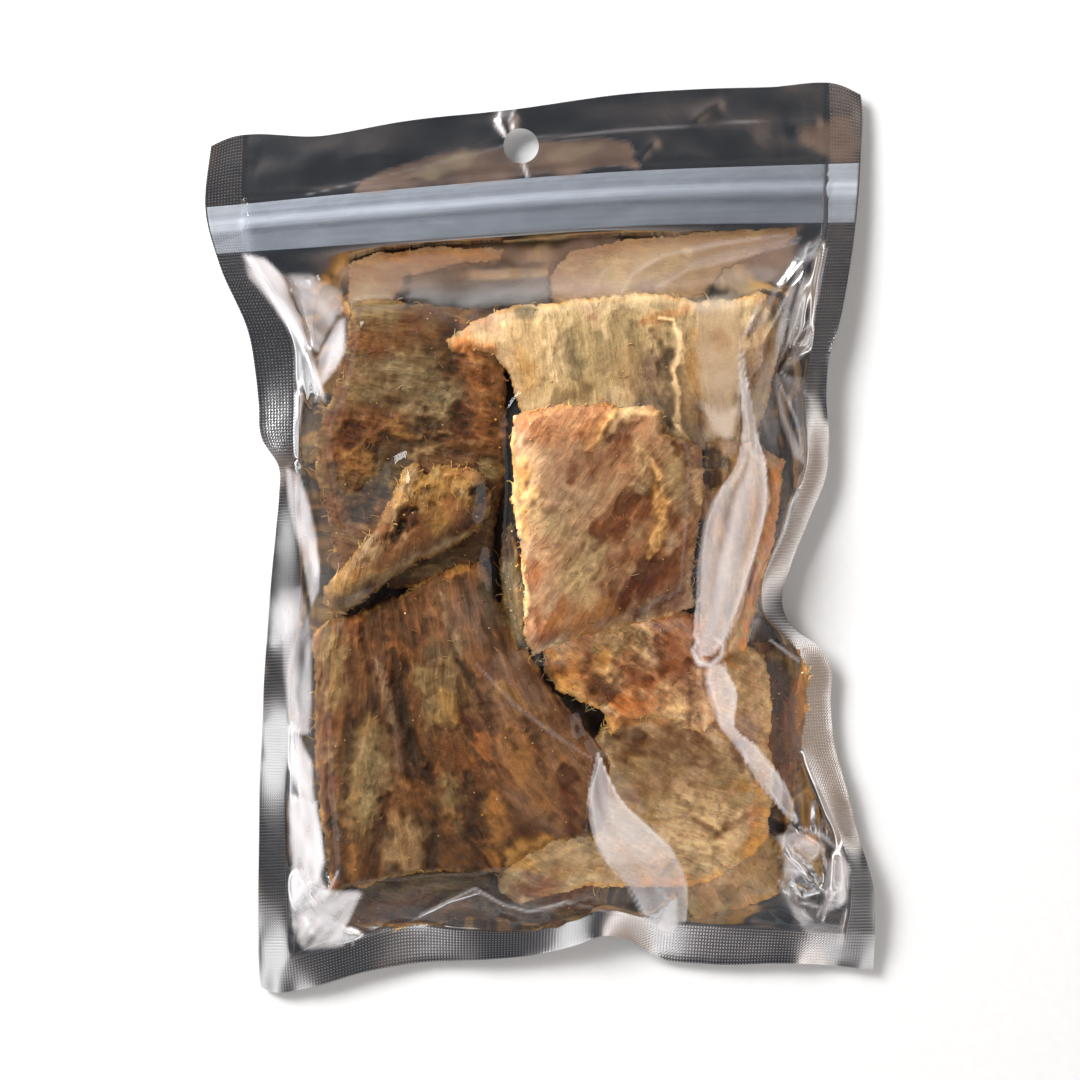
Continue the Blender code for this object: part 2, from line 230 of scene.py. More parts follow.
def turned_by(degrees, x, y):
    """Places measured across and along a direction that is turned from +Y."""
    angle = math.radians(degrees)
    return x * math.cos(angle) + y * math.sin(angle), y * math.cos(angle) - x * math.sin(angle)


def between(lines, places, at):
    """Values that run straight from line to line, where each line has its own place along at."""
    result = lines[0].copy()
    for low, high, low_at, high_at in zip(lines, lines[1:], places, places[1:]):
        share = np.clip((at - low_at) / (high_at - low_at), 0.0, 1.0)
        result = np.where(at >= low_at, low * (1 - share) + high * share, result)
    return result


def place_flat(u, v):
    """Where each flat point of the pouch lies in plan once it is filled: x and y."""
    rows = (BOTTOM_EDGE, BOTTOM_SEAL_LINE, ZIP_LOWER_LINE, ZIP_UPPER_LINE, TOP_EDGE)
    y = between([along(row, u) for row in rows], (0.0, SEAL, ZIP_LOW, ZIP_HIGH, LONG), v)
    columns = (LEFT_EDGE, LEFT_SEAL_LINE, RIGHT_SEAL_LINE, RIGHT_EDGE)
    x = between([along(column, y) for column in columns], (0.0, SEAL, WIDE - SEAL, WIDE), u)
    return x, y


def line_distance(points, x, y, closed=False):
    """Each place's distance from a line through points, and how far along it that is from 0 to 1."""
    ends = points[1:] + points[:1] if closed else points[1:]
    lengths = [math.dist(a, b) for a, b in zip(points, ends)]
    total, gone = sum(lengths), 0.0
    nearest = np.full(x.shape, np.inf)
    where = np.zeros(x.shape)
    for (ax, ay), (bx, by), length in zip(points, ends, lengths):
        dx, dy = bx - ax, by - ay
        share = np.clip(((x - ax) * dx + (y - ay) * dy) / max(length * length, 1e-9), 0.0, 1.0)
        away = np.hypot(x - ax - share * dx, y - ay - share * dy)
        closer = away < nearest
        nearest = np.where(closer, away, nearest)
        where = np.where(closer, (gone + share * length) / total, where)
        gone += length
    return nearest, where


def inside_depth(outline, x, y):
    """How far each place lies inside an outline, negative outside it."""
    inside = np.zeros(x.shape, bool)
    for (ax, ay), (bx, by) in zip(outline, outline[1:] + outline[:1]):
        crosses = (ay > y) != (by > y)
        reach = ax + (y - ay) * (bx - ax) / ((by - ay) or 1.0)
        inside ^= crosses & (x < reach)
    away = line_distance(outline, x, y, closed=True)[0]
    return np.where(inside, away, -away)


def blurred(z, steps):
    """A height field on a grid, blurred a few steps."""
    for _ in range(steps):
        padded = np.pad(z, 1, mode="edge")
        mean = (padded[:-2, 1:-1] + padded[2:, 1:-1] + padded[1:-1, :-2] + padded[1:-1, 2:]) / 4
        z = (z + mean) / 2
    return z


class HeightMap:
    """Heights of the CAD pouch on a square grid, read from it once with rays, and sampled smoothly."""

    # The grid's spacing, its lowest corner, its counts across and up, and how often it is blurred
    STEP = 1.0
    LOW = (-80.0, -107.0)
    COUNT = (161, 215)
    SOFTENING = 3

    def __init__(self, tree, downwards):
        xs = self.LOW[0] + self.STEP * np.arange(self.COUNT[0])
        ys = self.LOW[1] + self.STEP * np.arange(self.COUNT[1])
        self.z = np.full((self.COUNT[1], self.COUNT[0]), np.nan)
        start, way = (0.1, Vector((0, 0, -1))) if downwards else (-0.1, Vector((0, 0, 1)))
        for j, y in enumerate(ys):
            for i, x in enumerate(xs):
                hit = tree.ray_cast(Vector((x * MM, y * MM, start)), way)[0]
                if hit is not None:
                    self.z[j, i] = hit.z / MM
        while np.isnan(self.z).any():
            self.spread()
        self.z = blurred(self.z, self.SOFTENING)

    def spread(self):
        """Gives each empty place beside a filled one the mean of its filled neighbours."""
        padded = np.pad(self.z, 1, constant_values=np.nan)
        around = [padded[:-2, 1:-1], padded[2:, 1:-1], padded[1:-1, :-2], padded[1:-1, 2:]]
        known = ~np.isnan(np.stack(around))
        total = np.where(known, np.stack(around), 0.0).sum(0)
        count = known.sum(0)
        fill = np.isnan(self.z) & (count > 0)
        self.z[fill] = total[fill] / count[fill]

    def at(self, x, y):
        """The height at any places, in millimetres."""
        px = np.clip((x - self.LOW[0]) / self.STEP, 0, self.COUNT[0] - 1.001)
        py = np.clip((y - self.LOW[1]) / self.STEP, 0, self.COUNT[1] - 1.001)
        ix, iy = px.astype(int), py.astype(int)
        sx, sy = px - ix, py - iy
        low = self.z[iy, ix] * (1 - sx) + self.z[iy, ix + 1] * sx
        high = self.z[iy + 1, ix] * (1 - sx) + self.z[iy + 1, ix + 1] * sx
        return low * (1 - sy) + high * sy


# Shader building


class Number:
    """A shader's number that adds, multiplies and compares like one."""

    def __init__(self, graph, socket):
        self.graph, self.socket = graph, socket

    def maths(self, operation, *others):
        """One Math node, with this number as its first input."""
        return Number(self.graph, self.graph.node("Math", {"operation": operation}, self, *others)["Value"])

    def __add__(self, other):
        return self.maths("ADD", other)

    def __sub__(self, other):
        return self.maths("SUBTRACT", other)

    def __mul__(self, other):
        return self.maths("MULTIPLY", other)

    def __radd__(self, other):
        return self.maths("ADD", other)

    def __rsub__(self, other):
        return self.maths("MULTIPLY", -1.0).maths("ADD", other)

    def above(self, low, high, rise="SMOOTHSTEP"):
        """0 below low, 1 above high and a smooth or LINEAR rise between."""
        settings = {"interpolation_type": rise}
        return Number(self.graph, self.graph.node("MapRange", settings, self, low, high, 0.0, 1.0)["Result"])


class Graph:
    """The nodes of a material, or of the room, made one call at a time."""

    def __init__(self, owner, kind="Material"):
        owner.use_nodes = True
        self.owner, self.tree = owner, owner.node_tree
        self.tree.nodes.clear()
        self.output = self.tree.nodes.new("ShaderNodeOutput" + kind)

    def node(self, kind, settings=None, *inputs, **named):
        """A node with its settings and inputs set. Returns its outputs."""
        made = self.tree.nodes.new("ShaderNode" + kind)
        for key, value in (settings or {}).items():
            setattr(made, key, value)
        for place, value in [*enumerate(inputs), *named.items()]:
            if isinstance(place, str):
                place = place.replace("_", " ")
            self.feed(made.inputs[place], value)
        return made.outputs

    def feed(self, socket, value):
        """Links or sets one input."""
        if isinstance(value, Number):
            value = value.socket
        if isinstance(value, bpy.types.NodeSocket):
            self.tree.links.new(value, socket)
        elif value is not None:
            socket.default_value = value

    def number(self, socket):
        return Number(self, socket)

    def axis(self, vector, name):
        """One axis of a vector, as a number."""
        return self.number(self.node("SeparateXYZ", None, vector)[name])

    def noise(self, vector, scale, detail=3.0, roughness=0.55, distortion=0.0):
        """Noise from 0 to 1 about the middle value 0.5."""
        named = {"Scale": scale, "Detail": detail, "Roughness": roughness, "Distortion": distortion}
        return self.number(self.node("TexNoise", None, Vector=vector, **named)["Fac"])

    def scaled(self, vector, size):
        """A vector whose axes are multiplied by size."""
        return self.node("VectorMath", {"operation": "MULTIPLY"}, vector, size)["Vector"]

    def mix(self, share, first, second):
        """Two colours mixed."""
        made = self.tree.nodes.new("ShaderNodeMix")
        made.data_type = "RGBA"
        self.feed(made.inputs["Factor"], share)
        self.feed(made.inputs["A"], first)
        self.feed(made.inputs["B"], second)
        return made.outputs["Result"]

    def ramp(self, share, stops):
        """The colour that a number has among stops from 0.0 to 1.0."""
        made = self.tree.nodes.new("ShaderNodeValToRGB")
        self.feed(made.inputs["Fac"], share)
        elements = made.color_ramp.elements
        for place, colour in stops[1:-1]:
            elements.new(place)
        for element, (place, colour) in zip(elements, stops):
            element.color = colour + (1.0,)
        return made.outputs["Color"]

    def shade(self, colour, share, glow=None):
        """A colour made darker or lighter by a number, with a little colour added."""
        shaded = self.node("VectorMath", {"operation": "SCALE"}, colour, Scale=share)["Vector"]
        if glow is None:
            return shaded
        return self.node("VectorMath", {"operation": "ADD"}, shaded, glow)["Vector"]

    def attribute(self, name):
        """A colour that the mesh holds at each point, and the number it holds beside it."""
        made = self.node("Attribute", {"attribute_name": name})
        return made["Color"], self.number(made["Alpha"])

    def bump(self, height, distance, strength=1.0):
        """A normal bent by a height."""
        return self.node("Bump", None, Strength=strength, Distance=distance, Height=height)["Normal"]

    def finish(self, shader):
        self.tree.links.new(shader, self.output.inputs["Surface"])
        return self.owner


def new_graph(name):
    """The nodes of a new material."""
    return Graph(bpy.data.materials.new(name))


def fish_flesh():
    """Dried fish: the painted tone, softly banded along its fibres, frosted and flecked, a little oily."""
    graph = new_graph("dried_fish")
    # The tone already carries painted shade in the pieces' hollows and painted light on their crests.
    tone, crumbly = graph.attribute("tone")
    along_fibres = graph.node("UVMap", {"uv_map": "fibres"})["UV"]
    place = graph.node("TexCoord")["Object"]
    bands = graph.noise(graph.scaled(along_fibres, (0.50, 0.11, 1.0)), 1.0, 5.0, 0.55, 0.15)
    strands = graph.noise(graph.scaled(along_fibres, (2.0, 0.36, 1.0)), 1.0, 4.0, 0.6, 0.25)
    flakes = graph.noise(place, 420.0, 6.0, 0.68, 0.3)
    crumbs = graph.noise(place, 1900.0, 2.0, 0.6)
    deep = graph.scaled(tone, (0.70, 0.56, 0.46))
    dry = graph.shade(tone, 1.28, (0.036, 0.026, 0.012))
    colour = graph.mix(0.5 + (bands.above(0.34, 0.64) - 0.5) * (0.15 + crumbly * 0.5), deep, dry)
    long_fibres = graph.noise(graph.scaled(along_fibres, (1.25, 0.13, 1.0)), 1.0, 4.0, 0.6, 0.3)
    stringy = graph.noise(place, 150.0, 3.0).above(0.35, 0.6) * 0.8 + 0.15
    stringy = stringy * crumbly.above(0.02, 0.4)
    colour = graph.mix(long_fibres.above(0.50, 0.62) * stringy * 0.75, colour, dry)
    colour = graph.mix((1.0 - long_fibres.above(0.36, 0.48)) * stringy * 0.65, colour, deep)
    colour = graph.mix(flakes.above(0.48, 0.62) * crumbly * 0.9, colour, dry)
    colour = graph.mix((1.0 - flakes.above(0.34, 0.48)) * crumbly * 0.9, colour, deep)
    colour = graph.shade(colour, 0.82 + strands.above(0.30, 0.70) * 0.22 + crumbs.above(0.30, 0.70) * 0.16)
    paler = graph.shade(tone, 1.6, (0.07, 0.055, 0.035))
    threads = 1.0 - (strands - 0.5).maths("ABSOLUTE").above(0.0, 0.03)
    colour = graph.mix(threads * flakes.above(0.54, 0.62) * 0.6, colour, paler)
    colour = graph.mix(crumbs.above(0.66, 0.74) * 0.6, colour, paler)
    facing = graph.axis(graph.node("NewGeometry")["Normal"], "Z")
    sides = 1.0 - facing.maths("ABSOLUTE").above(0.25, 0.6)
    layers = graph.noise(graph.scaled(place, (90.0, 90.0, 1100.0)), 1.0, 4.0, 0.6, 0.3)
    colour = graph.mix(sides * 0.8, colour, graph.mix(layers.above(0.38, 0.6), deep, dry))
    height = bands * 0.25 + long_fibres * 0.35 + strands * 0.2
    height = height + flakes * (0.25 + crumbly * 0.7) + crumbs * 0.12
    shader = graph.node(
        "BsdfPrincipled",
        None,
        Base_Color=colour,
        Roughness=0.26 + flakes * 0.42,
        Normal=graph.bump(height, 0.0011, 0.9),
        Coat_Weight=0.25,
        Coat_Roughness=0.2,
    )
    return graph.finish(shader["BSDF"])


def seal_pattern(graph):
    """The fine knurling that the sealing bars leave, as a height, only where film and foil are sealed."""
    flat = graph.node("UVMap", {"uv_map": "flat"})["UV"]
    u, v = graph.axis(flat, "X"), graph.axis(flat, "Y")
    turn = 2 * math.pi / KNURL
    dots = (u * turn).maths("SINE") * (v * turn).maths("SINE")
    lines = (v * turn).maths("SINE") * 0.5
    sides = (u - WIDE / 2).maths("ABSOLUTE").above(WIDE / 2 - SEAL - 0.2, WIDE / 2 - SEAL + 0.2)
    hem = 1.0 - v.above(SEAL - 0.2, SEAL + 0.2)
    return (dots + lines) * sides.maths("MAXIMUM", hem)


def foil_skin():
    """Bright metallised film, smooth but for fine ripples, knurled in the seals."""
    graph = new_graph("metallised_foil")
    knurl = seal_pattern(graph)
    place = graph.node("TexCoord")["Object"]
    ripple = graph.noise(place, 70.0, 4.0, 0.5, 0.8)
    haze = graph.noise(place, 45.0, 3.0, 0.6, 0.5)
    tint = graph.mix(haze, (0.80, 0.80, 0.81, 1.0), (0.93, 0.93, 0.94, 1.0))
    height = knurl * 0.013 + ripple * 0.12
    shader = graph.node(
        "BsdfPrincipled",
        None,
        Base_Color=tint,
        Metallic=1.0,
        Roughness=0.10 + haze * 0.12 + knurl.above(0.1, 0.6) * 0.16,
        Normal=graph.bump(height, 0.001, 1.0),
    )
    return graph.finish(shader["BSDF"])


def clear_film():
    """Clear glossy film: what lies under it shows. Where it is bunched it reflects more, and it takes a
    diffuse layer of painted sheen in the colour it holds.
    """
    graph = new_graph("clear_film")
    place = graph.node("TexCoord")["Object"]
    ripple = graph.noise(place, 45.0, 3.0, 0.5, 0.8)
    normal = graph.bump(seal_pattern(graph) * 0.013 + ripple * 0.06, 0.001, 1.0)
    # The film holds the colour and share of its painted sheen and painted reflections.
    haze, folded_sheen = graph.attribute("haze")
    clear = graph.node("BsdfTransparent", None, Color=(0.97, 0.97, 0.97, 1.0))["BSDF"]
    # A diffuse layer of painted sheen in that colour, mixed in by the share; where the share is high the
    # gloss also rises, which is real reflection.
    sheen_layer = graph.node(
        "BsdfPrincipled",
        None,
        Base_Color=haze,
        Roughness=0.4,
        Normal=normal,
    )["BSDF"]
    body = graph.node("MixShader", None, folded_sheen * 0.31, clear, sheen_layer)["Shader"]
    gloss = graph.node(
        "BsdfGlossy",
        {"distribution": "GGX"},
        Color=(1.0, 1.0, 1.0, 1.0),
        Roughness=0.05 + folded_sheen * 0.18,
        Normal=normal,
    )["BSDF"]
    share = graph.number(graph.node("Fresnel", None, IOR=1.42, Normal=normal)["Fac"]) + folded_sheen * 0.16
    return graph.finish(graph.node("MixShader", None, share, body, gloss)["Shader"])


def zip_plastic():
    """Milky translucent polyethylene, brightest on the ridge, with lines drawn along it."""
    graph = new_graph("zip_plastic")
    flat = graph.node("UVMap", {"uv_map": "flat"})["UV"]
    v = graph.axis(flat, "Y")
    drawn = graph.noise(graph.scaled(flat, (0.025, 1.4, 1.0)), 1.0, 4.0, 0.6)
    smears = graph.noise(graph.scaled(flat, (0.10, 0.25, 1.0)), 1.0, 3.0, 0.6, 0.6)
    on_ridge = 1.0 - (v - ZIP_RIDGE).maths("ABSOLUTE").above(0.6, 2.6)
    above_ridge = v.above(ZIP_RIDGE, ZIP_RIDGE + 2.0)
    colour = graph.mix(drawn.above(0.3, 0.7), (0.42, 0.45, 0.50, 1.0), (0.48, 0.52, 0.57, 1.0))
    body = graph.node(
        "BsdfPrincipled",
        None,
        Base_Color=colour,
        Roughness=0.3,
        Normal=graph.bump(drawn, 0.0003, 0.8),
    )["BSDF"]
    clear = graph.node("BsdfTransparent", None, Color=(0.9, 0.92, 0.95, 1.0))["BSDF"]
    share = 0.26 + on_ridge * 0.30 + above_ridge * 0.16 + smears.above(0.3, 0.8) * 0.12
    return graph.finish(graph.node("MixShader", None, share, clear, body)["Shader"])


def pale_floor():
    """A plain pale table."""
    graph = new_graph("pale_floor")
    grain = graph.noise(graph.node("TexCoord")["Object"], 400.0, 2.0)
    colour = graph.mix(grain, (0.58, 0.58, 0.58, 1.0), (0.62, 0.62, 0.62, 1.0))
    shader = graph.node("BsdfPrincipled", None, Base_Color=colour, Roughness=0.8)
    return graph.finish(shader["BSDF"])


# Meshes


def shown(name, bm, material):
    """A smooth-shaded object from a bmesh in millimetres."""
    bmesh.ops.scale(bm, vec=(MM, MM, MM), verts=bm.verts)
    mesh = bpy.data.meshes.new(name)
    bm.to_mesh(mesh)
    bm.free()
    mesh.shade_smooth()
    mesh.materials.append(material)
    thing = bpy.data.objects.new(name, mesh)
    bpy.context.scene.collection.objects.link(thing)
    return thing


def grid_sheet(x, y, z):
    """A bmesh grid whose points lie at the arrays' places, with each point's number kept on it."""
    rows, columns = x.shape
    bm = bmesh.new()
    bmesh.ops.create_grid(bm, x_segments=columns - 1, y_segments=rows - 1, size=1.0)
    number = bm.verts.layers.int.new("number")
    places = np.stack([x, y, z], -1).reshape(-1, 3).tolist()
    for k, (vertex, place) in enumerate(zip(bm.verts, places)):
        vertex.co = place
        vertex[number] = k
    return bm, number


def point_numbers(mesh):
    """The number that each point of a mesh was given in its grid."""
    numbers = np.empty(len(mesh.vertices), np.int32)
    mesh.attributes["number"].data.foreach_get("value", numbers)
    return numbers


def set_map(thing, name, u, v):
    """A UV map that holds two lengths in millimetres for each point of a numbered grid."""
    mesh = thing.data
    corners = np.empty(len(mesh.loops), np.int32)
    mesh.loops.foreach_get("vertex_index", corners)
    flat = np.stack([np.ravel(u), np.ravel(v)], -1)[point_numbers(mesh)[corners]]
    mesh.uv_layers.new(name=name).data.foreach_set("uv", flat.ravel())


def set_colours(thing, name, colours):
    """Puts a colour on each point of a mesh that was made from a numbered grid."""
    mesh = thing.data
    parts = colours.shape[-1]
    values = np.ones((len(mesh.vertices), 4))
    values[:, :parts] = np.clip(colours.reshape(-1, parts)[point_numbers(mesh)], 0.0, BRIGHTEST)
    mesh.attributes.new(name, "FLOAT_COLOR", "POINT").data.foreach_set("color", values.ravel())


def punch_hole(bm):
    """Takes the hang hole out of a sheet and rounds its edge."""
    hole = Vector((HOLE_AT[0], HOLE_AT[1]))
    inside = [f for f in bm.faces if (f.calc_center_median().xy - hole).length < HOLE_RADIUS]
    bmesh.ops.delete(bm, geom=inside, context="FACES")
    for vertex in bm.verts:
        away = vertex.co.xy - hole
        if vertex.is_boundary and away.length < HOLE_RADIUS * 1.6:
            vertex.co.xy = hole + away.normalized() * HOLE_RADIUS


def pouch_grid(counts):
    """The flat u and v of an even grid over the pouch, and its x and y."""
    u, v = np.meshgrid(np.linspace(0, WIDE, counts[0]), np.linspace(0, LONG, counts[1]))
    x, y = place_flat(u, v)
    return u, v, x, y


def seal_shares(u, v):
    """How nearly film and foil are sealed together at each place: 1 in the seals and 0 in the pocket."""
    sides = smooth_step(SEAL + 1.2, SEAL, np.minimum(u, WIDE - u))
    hem = smooth_step(SEAL + 1.2, SEAL, v)
    return np.maximum(sides, hem)


def closed_shares(u, v):
    """How close film and foil lie: sealed at the sides and hem, and nearly together above the zip."""
    return np.maximum(seal_shares(u, v), smooth_step(ZIP_HIGH, ZIP_HIGH + 2, v) * 0.8)


def veil_edges(veil, y):
    """Where a tight strip's left and right edges are at each y, and whether it reaches there."""
    sides = [photo_to_mm(veil[side], FILM_HEIGHT) for side in ("left", "right")]
    left, right = [sorted((y_at, x_at) for x_at, y_at in side) for side in sides]
    low, high = max(left[0][0], right[0][0]), min(left[-1][0], right[-1][0])
    start, end = along(left, y), along(right, y)
    return start, np.maximum(end, start), (y > low) & (y < high)


def lay_veil(veil, front, x, y, z):
    """Lays a strip of film at one slope, from its left edge down to the right, and lets the film recover."""
    start, end, reaches = veil_edges(veil, y)
    slope = veil["slope"]
    steps = np.arange(-8.0, 9.0, 2.0)
    level = sum(front.at(veil_edges(veil, y + step)[0], y + step) for step in steps) / len(steps)
    gap = level - slope * (end - start) - front.at(end, y)
    beyond = z + gap * np.exp(-((np.maximum(x - end, 0.0) / 4.0) ** 2))
    inside = reaches & (x >= start)
    return np.where(inside, np.where(x < end, level - slope * (x - start), beyond), z)


def lay_facet(slope, outline, x, y, z):
    """Tips one flat facet of the film about its middle. Slope is its rise for each mm in x and in y."""
    middle = np.mean(outline, axis=0)
    rise = slope[0] * (x - middle[0]) + slope[1] * (y - middle[1])
    return z + np.clip(rise, -1.2, 1.2) * smooth_step(-0.8, 0.8, inside_depth(outline, x, y))


def sheen_share(x, y):
    """How much painted sheen the film takes, which also raises its real reflection: streaky in the tight
    strips and facets, strong along the thin glint lines.
    """
    share = np.zeros(x.shape)
    for seed, veil in enumerate(VEILS):
        start, end, reaches = veil_edges(veil, y)
        width = np.maximum(end - start, 0.01)
        across = (x - start) / width
        edge = smooth_step(-0.02, 0.03, across) * smooth_step(1.02, 0.97, across)
        wander = 0.3 * noise(x, y, 9.0, 40 + seed)
        streaks = 0.72 + veil["streaky"] * noise(across * 6 + wander, y / 40.0, 1.0, seed + 50)
        hem = 0.35 * (smooth_step(0.12, 0.0, across) + smooth_step(0.88, 1.0, across))
        share = np.maximum(share, np.where(reaches, edge * np.clip(streaks + hem, 0.1, 1.3), 0.0))
    for seed, (strength, _, run, outline) in enumerate(FACETS):
        across, down = turned_by(run, x, y)
        streaks = rough(across / 2.6, down / 9.0, 1.0, seed + 90, 2)
        depth = inside_depth(photo_to_mm(outline, FACET_HEIGHT), x, y) + 0.7 * streaks
        hem = 0.25 * smooth_step(0.9, 0.2, depth)
        facet_sheen = smooth_step(-0.3, 1.1, depth) * np.maximum(0.8 + 1.1 * streaks + hem, 0.0)
        share = np.maximum(share, strength * facet_sheen)
    # Thin lines of painted highlight.
    for width, strength, points in GLINT_LINES:
        away, where = line_distance(photo_to_mm(points, FACET_HEIGHT), x, y)
        thin = away / (width * MM_PER_PIXEL * (0.5 + np.minimum(where, 1 - where)))
        share = np.maximum(share, strength * np.exp(-(thin**2)))
    return share


def lay_creases(creases, x, y, z):
    """Pulls sharp creases up or down along their lines."""
    for lift, width, points in creases:
        away, where = line_distance(photo_to_mm(points, FILM_HEIGHT), x, y)
        ends = np.clip(4 * np.minimum(where, 1 - where) + 0.15, 0.0, 1.0)
        z = z + lift * ends * np.exp(-away / (width * MM_PER_PIXEL))
    return z


def film_top(front, x, y):
    """Where the film lies over the pieces, with its tight facets and creases."""
    z = front.at(x, y)
    for veil in VEILS:
        z = lay_veil(veil, front, x, y, z)
    for _, slope, _, outline in FACETS:
        z = lay_facet(slope, photo_to_mm(outline, FACET_HEIGHT), x, y, z)
    return lay_creases(CREASES, x, y, z)


def slack(u, v, x, y, front):
    """How loose film and foil are: 0 over the pieces and in the seals, 1 in the hollow between."""
    over_pieces = smooth_step(11.0, 15.0, front.at(x, y))
    return (1 - over_pieces) * (1 - seal_shares(u, v)) * smooth_step(ZIP_LOW - 3, ZIP_LOW - 9, v)


def crumple(u, v, x, y, seed):
    """Sharp crumples in millimetres that run along the pouch's nearest side."""
    sideways = smooth_step(0.0, 14.0, v - 6.0 - np.minimum(u, WIDE - u))
    along_side = ridged(x / 5.5, y / 20.0 + 0.3 * noise(x, y, 20.0, seed), 1.0, seed, 2)
    along_hem = ridged(x / 13.0 + y / 9.0, y / 7.0, 1.0, seed + 5, 2)
    return (along_side * sideways + along_hem * (1 - sideways) - 0.6) * 1.5


def film_height(u, v, x, y, front, back):
    """Where the clear film lies."""
    top, under = film_top(front, x, y), back.at(x, y)
    middle, sealed = (front.at(x, y) + under) / 2 + seal_lift(u, v, y), closed_shares(u, v)
    zipped = smooth_step(ZIP_LOW - 2, ZIP_LOW, v) * smooth_step(ZIP_HIGH + 2, ZIP_HIGH, v)
    z = top * (1 - sealed) + (middle + HALF_SEAL) * sealed
    ridge = np.clip(1 - np.abs(v - ZIP_RIDGE) / 2.4, 0.0, 1.0)
    loose = slack(u, v, x, y, front)
    z = z + zipped * (1 - sealed) * (0.25 + 0.5 * ridge) + crumple(u, v, x, y, 15) * top_calm(v) * loose
    return z + header_folds(u, v, x, y)


def header_folds(u, v, x, y):
    """The gentle swells and sharp folds of the header above the zip."""
    inside = smooth_step(ZIP_HIGH + 0.5, ZIP_HIGH + 3.0, v) * smooth_step(0.0, 3.0, np.minimum(u, WIDE - u))
    swell = 0.30 * noise(x, 2.2 * y, 17.0, 71) + 0.16 * noise(x, 1.6 * y, 7.0, 73)
    return inside * (swell + lay_creases(HEADER_FOLDS, x, y, 0.0))


def seal_lift(u, v, y):
    """How far the seals curl up towards their outer edges, in millimetres."""
    left, right, hem = [np.clip(1 - depth / SEAL, 0.0, 1.0) for depth in (u, WIDE - u, v)]
    sides = left * along(LEFT_CURL, y) + right * along(RIGHT_CURL, y)
    return sides * (1 - hem) + hem * along(HEM_CURL, u)


def foil_height(u, v, x, y, front, back):
    """Where the foil back lies, crumpled where nothing presses it flat."""
    top, under = front.at(x, y), back.at(x, y)
    middle, sealed = (top + under) / 2 + seal_lift(u, v, y), closed_shares(u, v)
    z = under * (1 - sealed) + (middle - HALF_SEAL) * sealed
    loose = slack(u, v, x, y, front)
    creases = lay_creases(CREASES, x, y, 0.0)
    z = z + 0.1 + (crumple(u, v, x, y, 5) * top_calm(v) + creases) * loose + header_folds(u, v, x, y)
    cling = np.zeros(x.shape)
    for width, points in CLINGS:
        away = line_distance(photo_to_mm(points, CLING_HEIGHT), x, y)[0] * (1 + 0.5 * rough(x, y, 5.0, 44))
        cling = np.maximum(cling, np.exp(-((away / (width * MM_PER_PIXEL)) ** 2)))
    cling = cling * (1 - sealed)
    z = z * (1 - cling) + (front.at(x, y) - 0.5 + creases * 0.6) * cling
    return np.maximum(z, 0.06)


def top_calm(v):
    """The foil under the zip is hardly crumpled."""
    return 1 - 0.85 * smooth_step(138.0, 150.0, v)


def make_film(front, back):
    """The clear front."""
    u, v, x, y = pouch_grid(FILM_GRID)
    z = blurred(film_height(u, v, x, y, front, back), 2)
    z += 0.08 * rough(x, y, 9.0, 3) * (1 - seal_shares(u, v))
    bm = grid_sheet(x, y, z)[0]
    punch_hole(bm)
    film = shown("clear_film", bm, clear_film())
    set_map(film, "flat", u, v)
    # The held colour and share are painted sheen: white along veils, facets and glint lines, then the painted
    # clouds of reflection, light and dark.
    share, colour = sheen_share(x, y), np.full(x.shape + (3,), MILKY_SHEEN)
    for name, strength, soft, outline in PAINTED_CLOUDS:
        depth = inside_depth(photo_to_mm(outline, FACET_HEIGHT), x, y)
        uneven = rough(x, 1.6 * y, 8.0, len(outline))
        cloud = smooth_step(0.0, soft, depth + 1.6 * uneven) * np.clip(1.0 + 0.9 * uneven, 0.3, 1.5)
        cloud *= strength
        blend(colour, name, cloud / np.maximum(share + cloud, 0.01))
        share = np.maximum(share, cloud)
    set_colours(film, "haze", np.concatenate([colour, share[..., None]], -1))
    return film


def make_foil(front, back):
    """The foil back."""
    u, v, x, y = pouch_grid(FOIL_GRID)
    z = foil_height(u, v, x, y, front, back)
    bm = grid_sheet(x, y, z)[0]
    punch_hole(bm)
    foil = shown("foil_back", bm, foil_skin())
    set_map(foil, "flat", u, v)
    return foil


def make_zip(front, back):
    """The two locked halves of the zip, with the ridge where they lock, pressed flat in the side seals."""
    short, columns, rows = 0.4, *ZIP_GRID
    u, v = np.meshgrid(np.linspace(short, WIDE - short, columns), np.linspace(ZIP_LOW, ZIP_HIGH, rows))
    x, y = place_flat(u, v)
    middle = (front.at(x, y) + back.at(x, y)) / 2
    full = smooth_step(SEAL - 1.0, SEAL + 1.0, np.minimum(u, WIDE - u))
    ridge = 0.55 * np.clip(1 - np.abs(v - ZIP_RIDGE) / 1.9, 0.0, 1.0) ** 0.6
    rib = 0.2 * np.clip(1 - np.abs(v - ZIP_RIB) / 0.7, 0.0, 1.0)
    z = middle + seal_lift(u, v, y) + 0.18 + full * (0.12 + ridge + rib)
    bm = grid_sheet(x, y, z)[0]
    bmesh.ops.solidify(bm, geom=bm.faces[:], thickness=0.3)
    band = shown("zip_band", bm, zip_plastic())
    set_map(band, "flat", u, v)
    return band


# Fish

# The cut sides are this many layers of dried flesh, and reach no lower than this above the table
WALL_LAYERS = 4
LOWEST = 0.4

# What a piece is like where it doesn't say. Step is the distance between its points, fray how ragged its rim
# is, fan how its fibres spread, grain how deep they are cut, crumbly how broken the flesh is, and torn how
# many loose fibres stand off it.
PLAIN_PIECE = {
    "tilt": (0.0, 0.0),
    "step": FISH_STEP,
    "fray": 0.5,
    "fan": 0.0,
    "grain": 0.7,
    "crumbly": 0.8,
    "rim": "gold",
    "torn": 90,
}


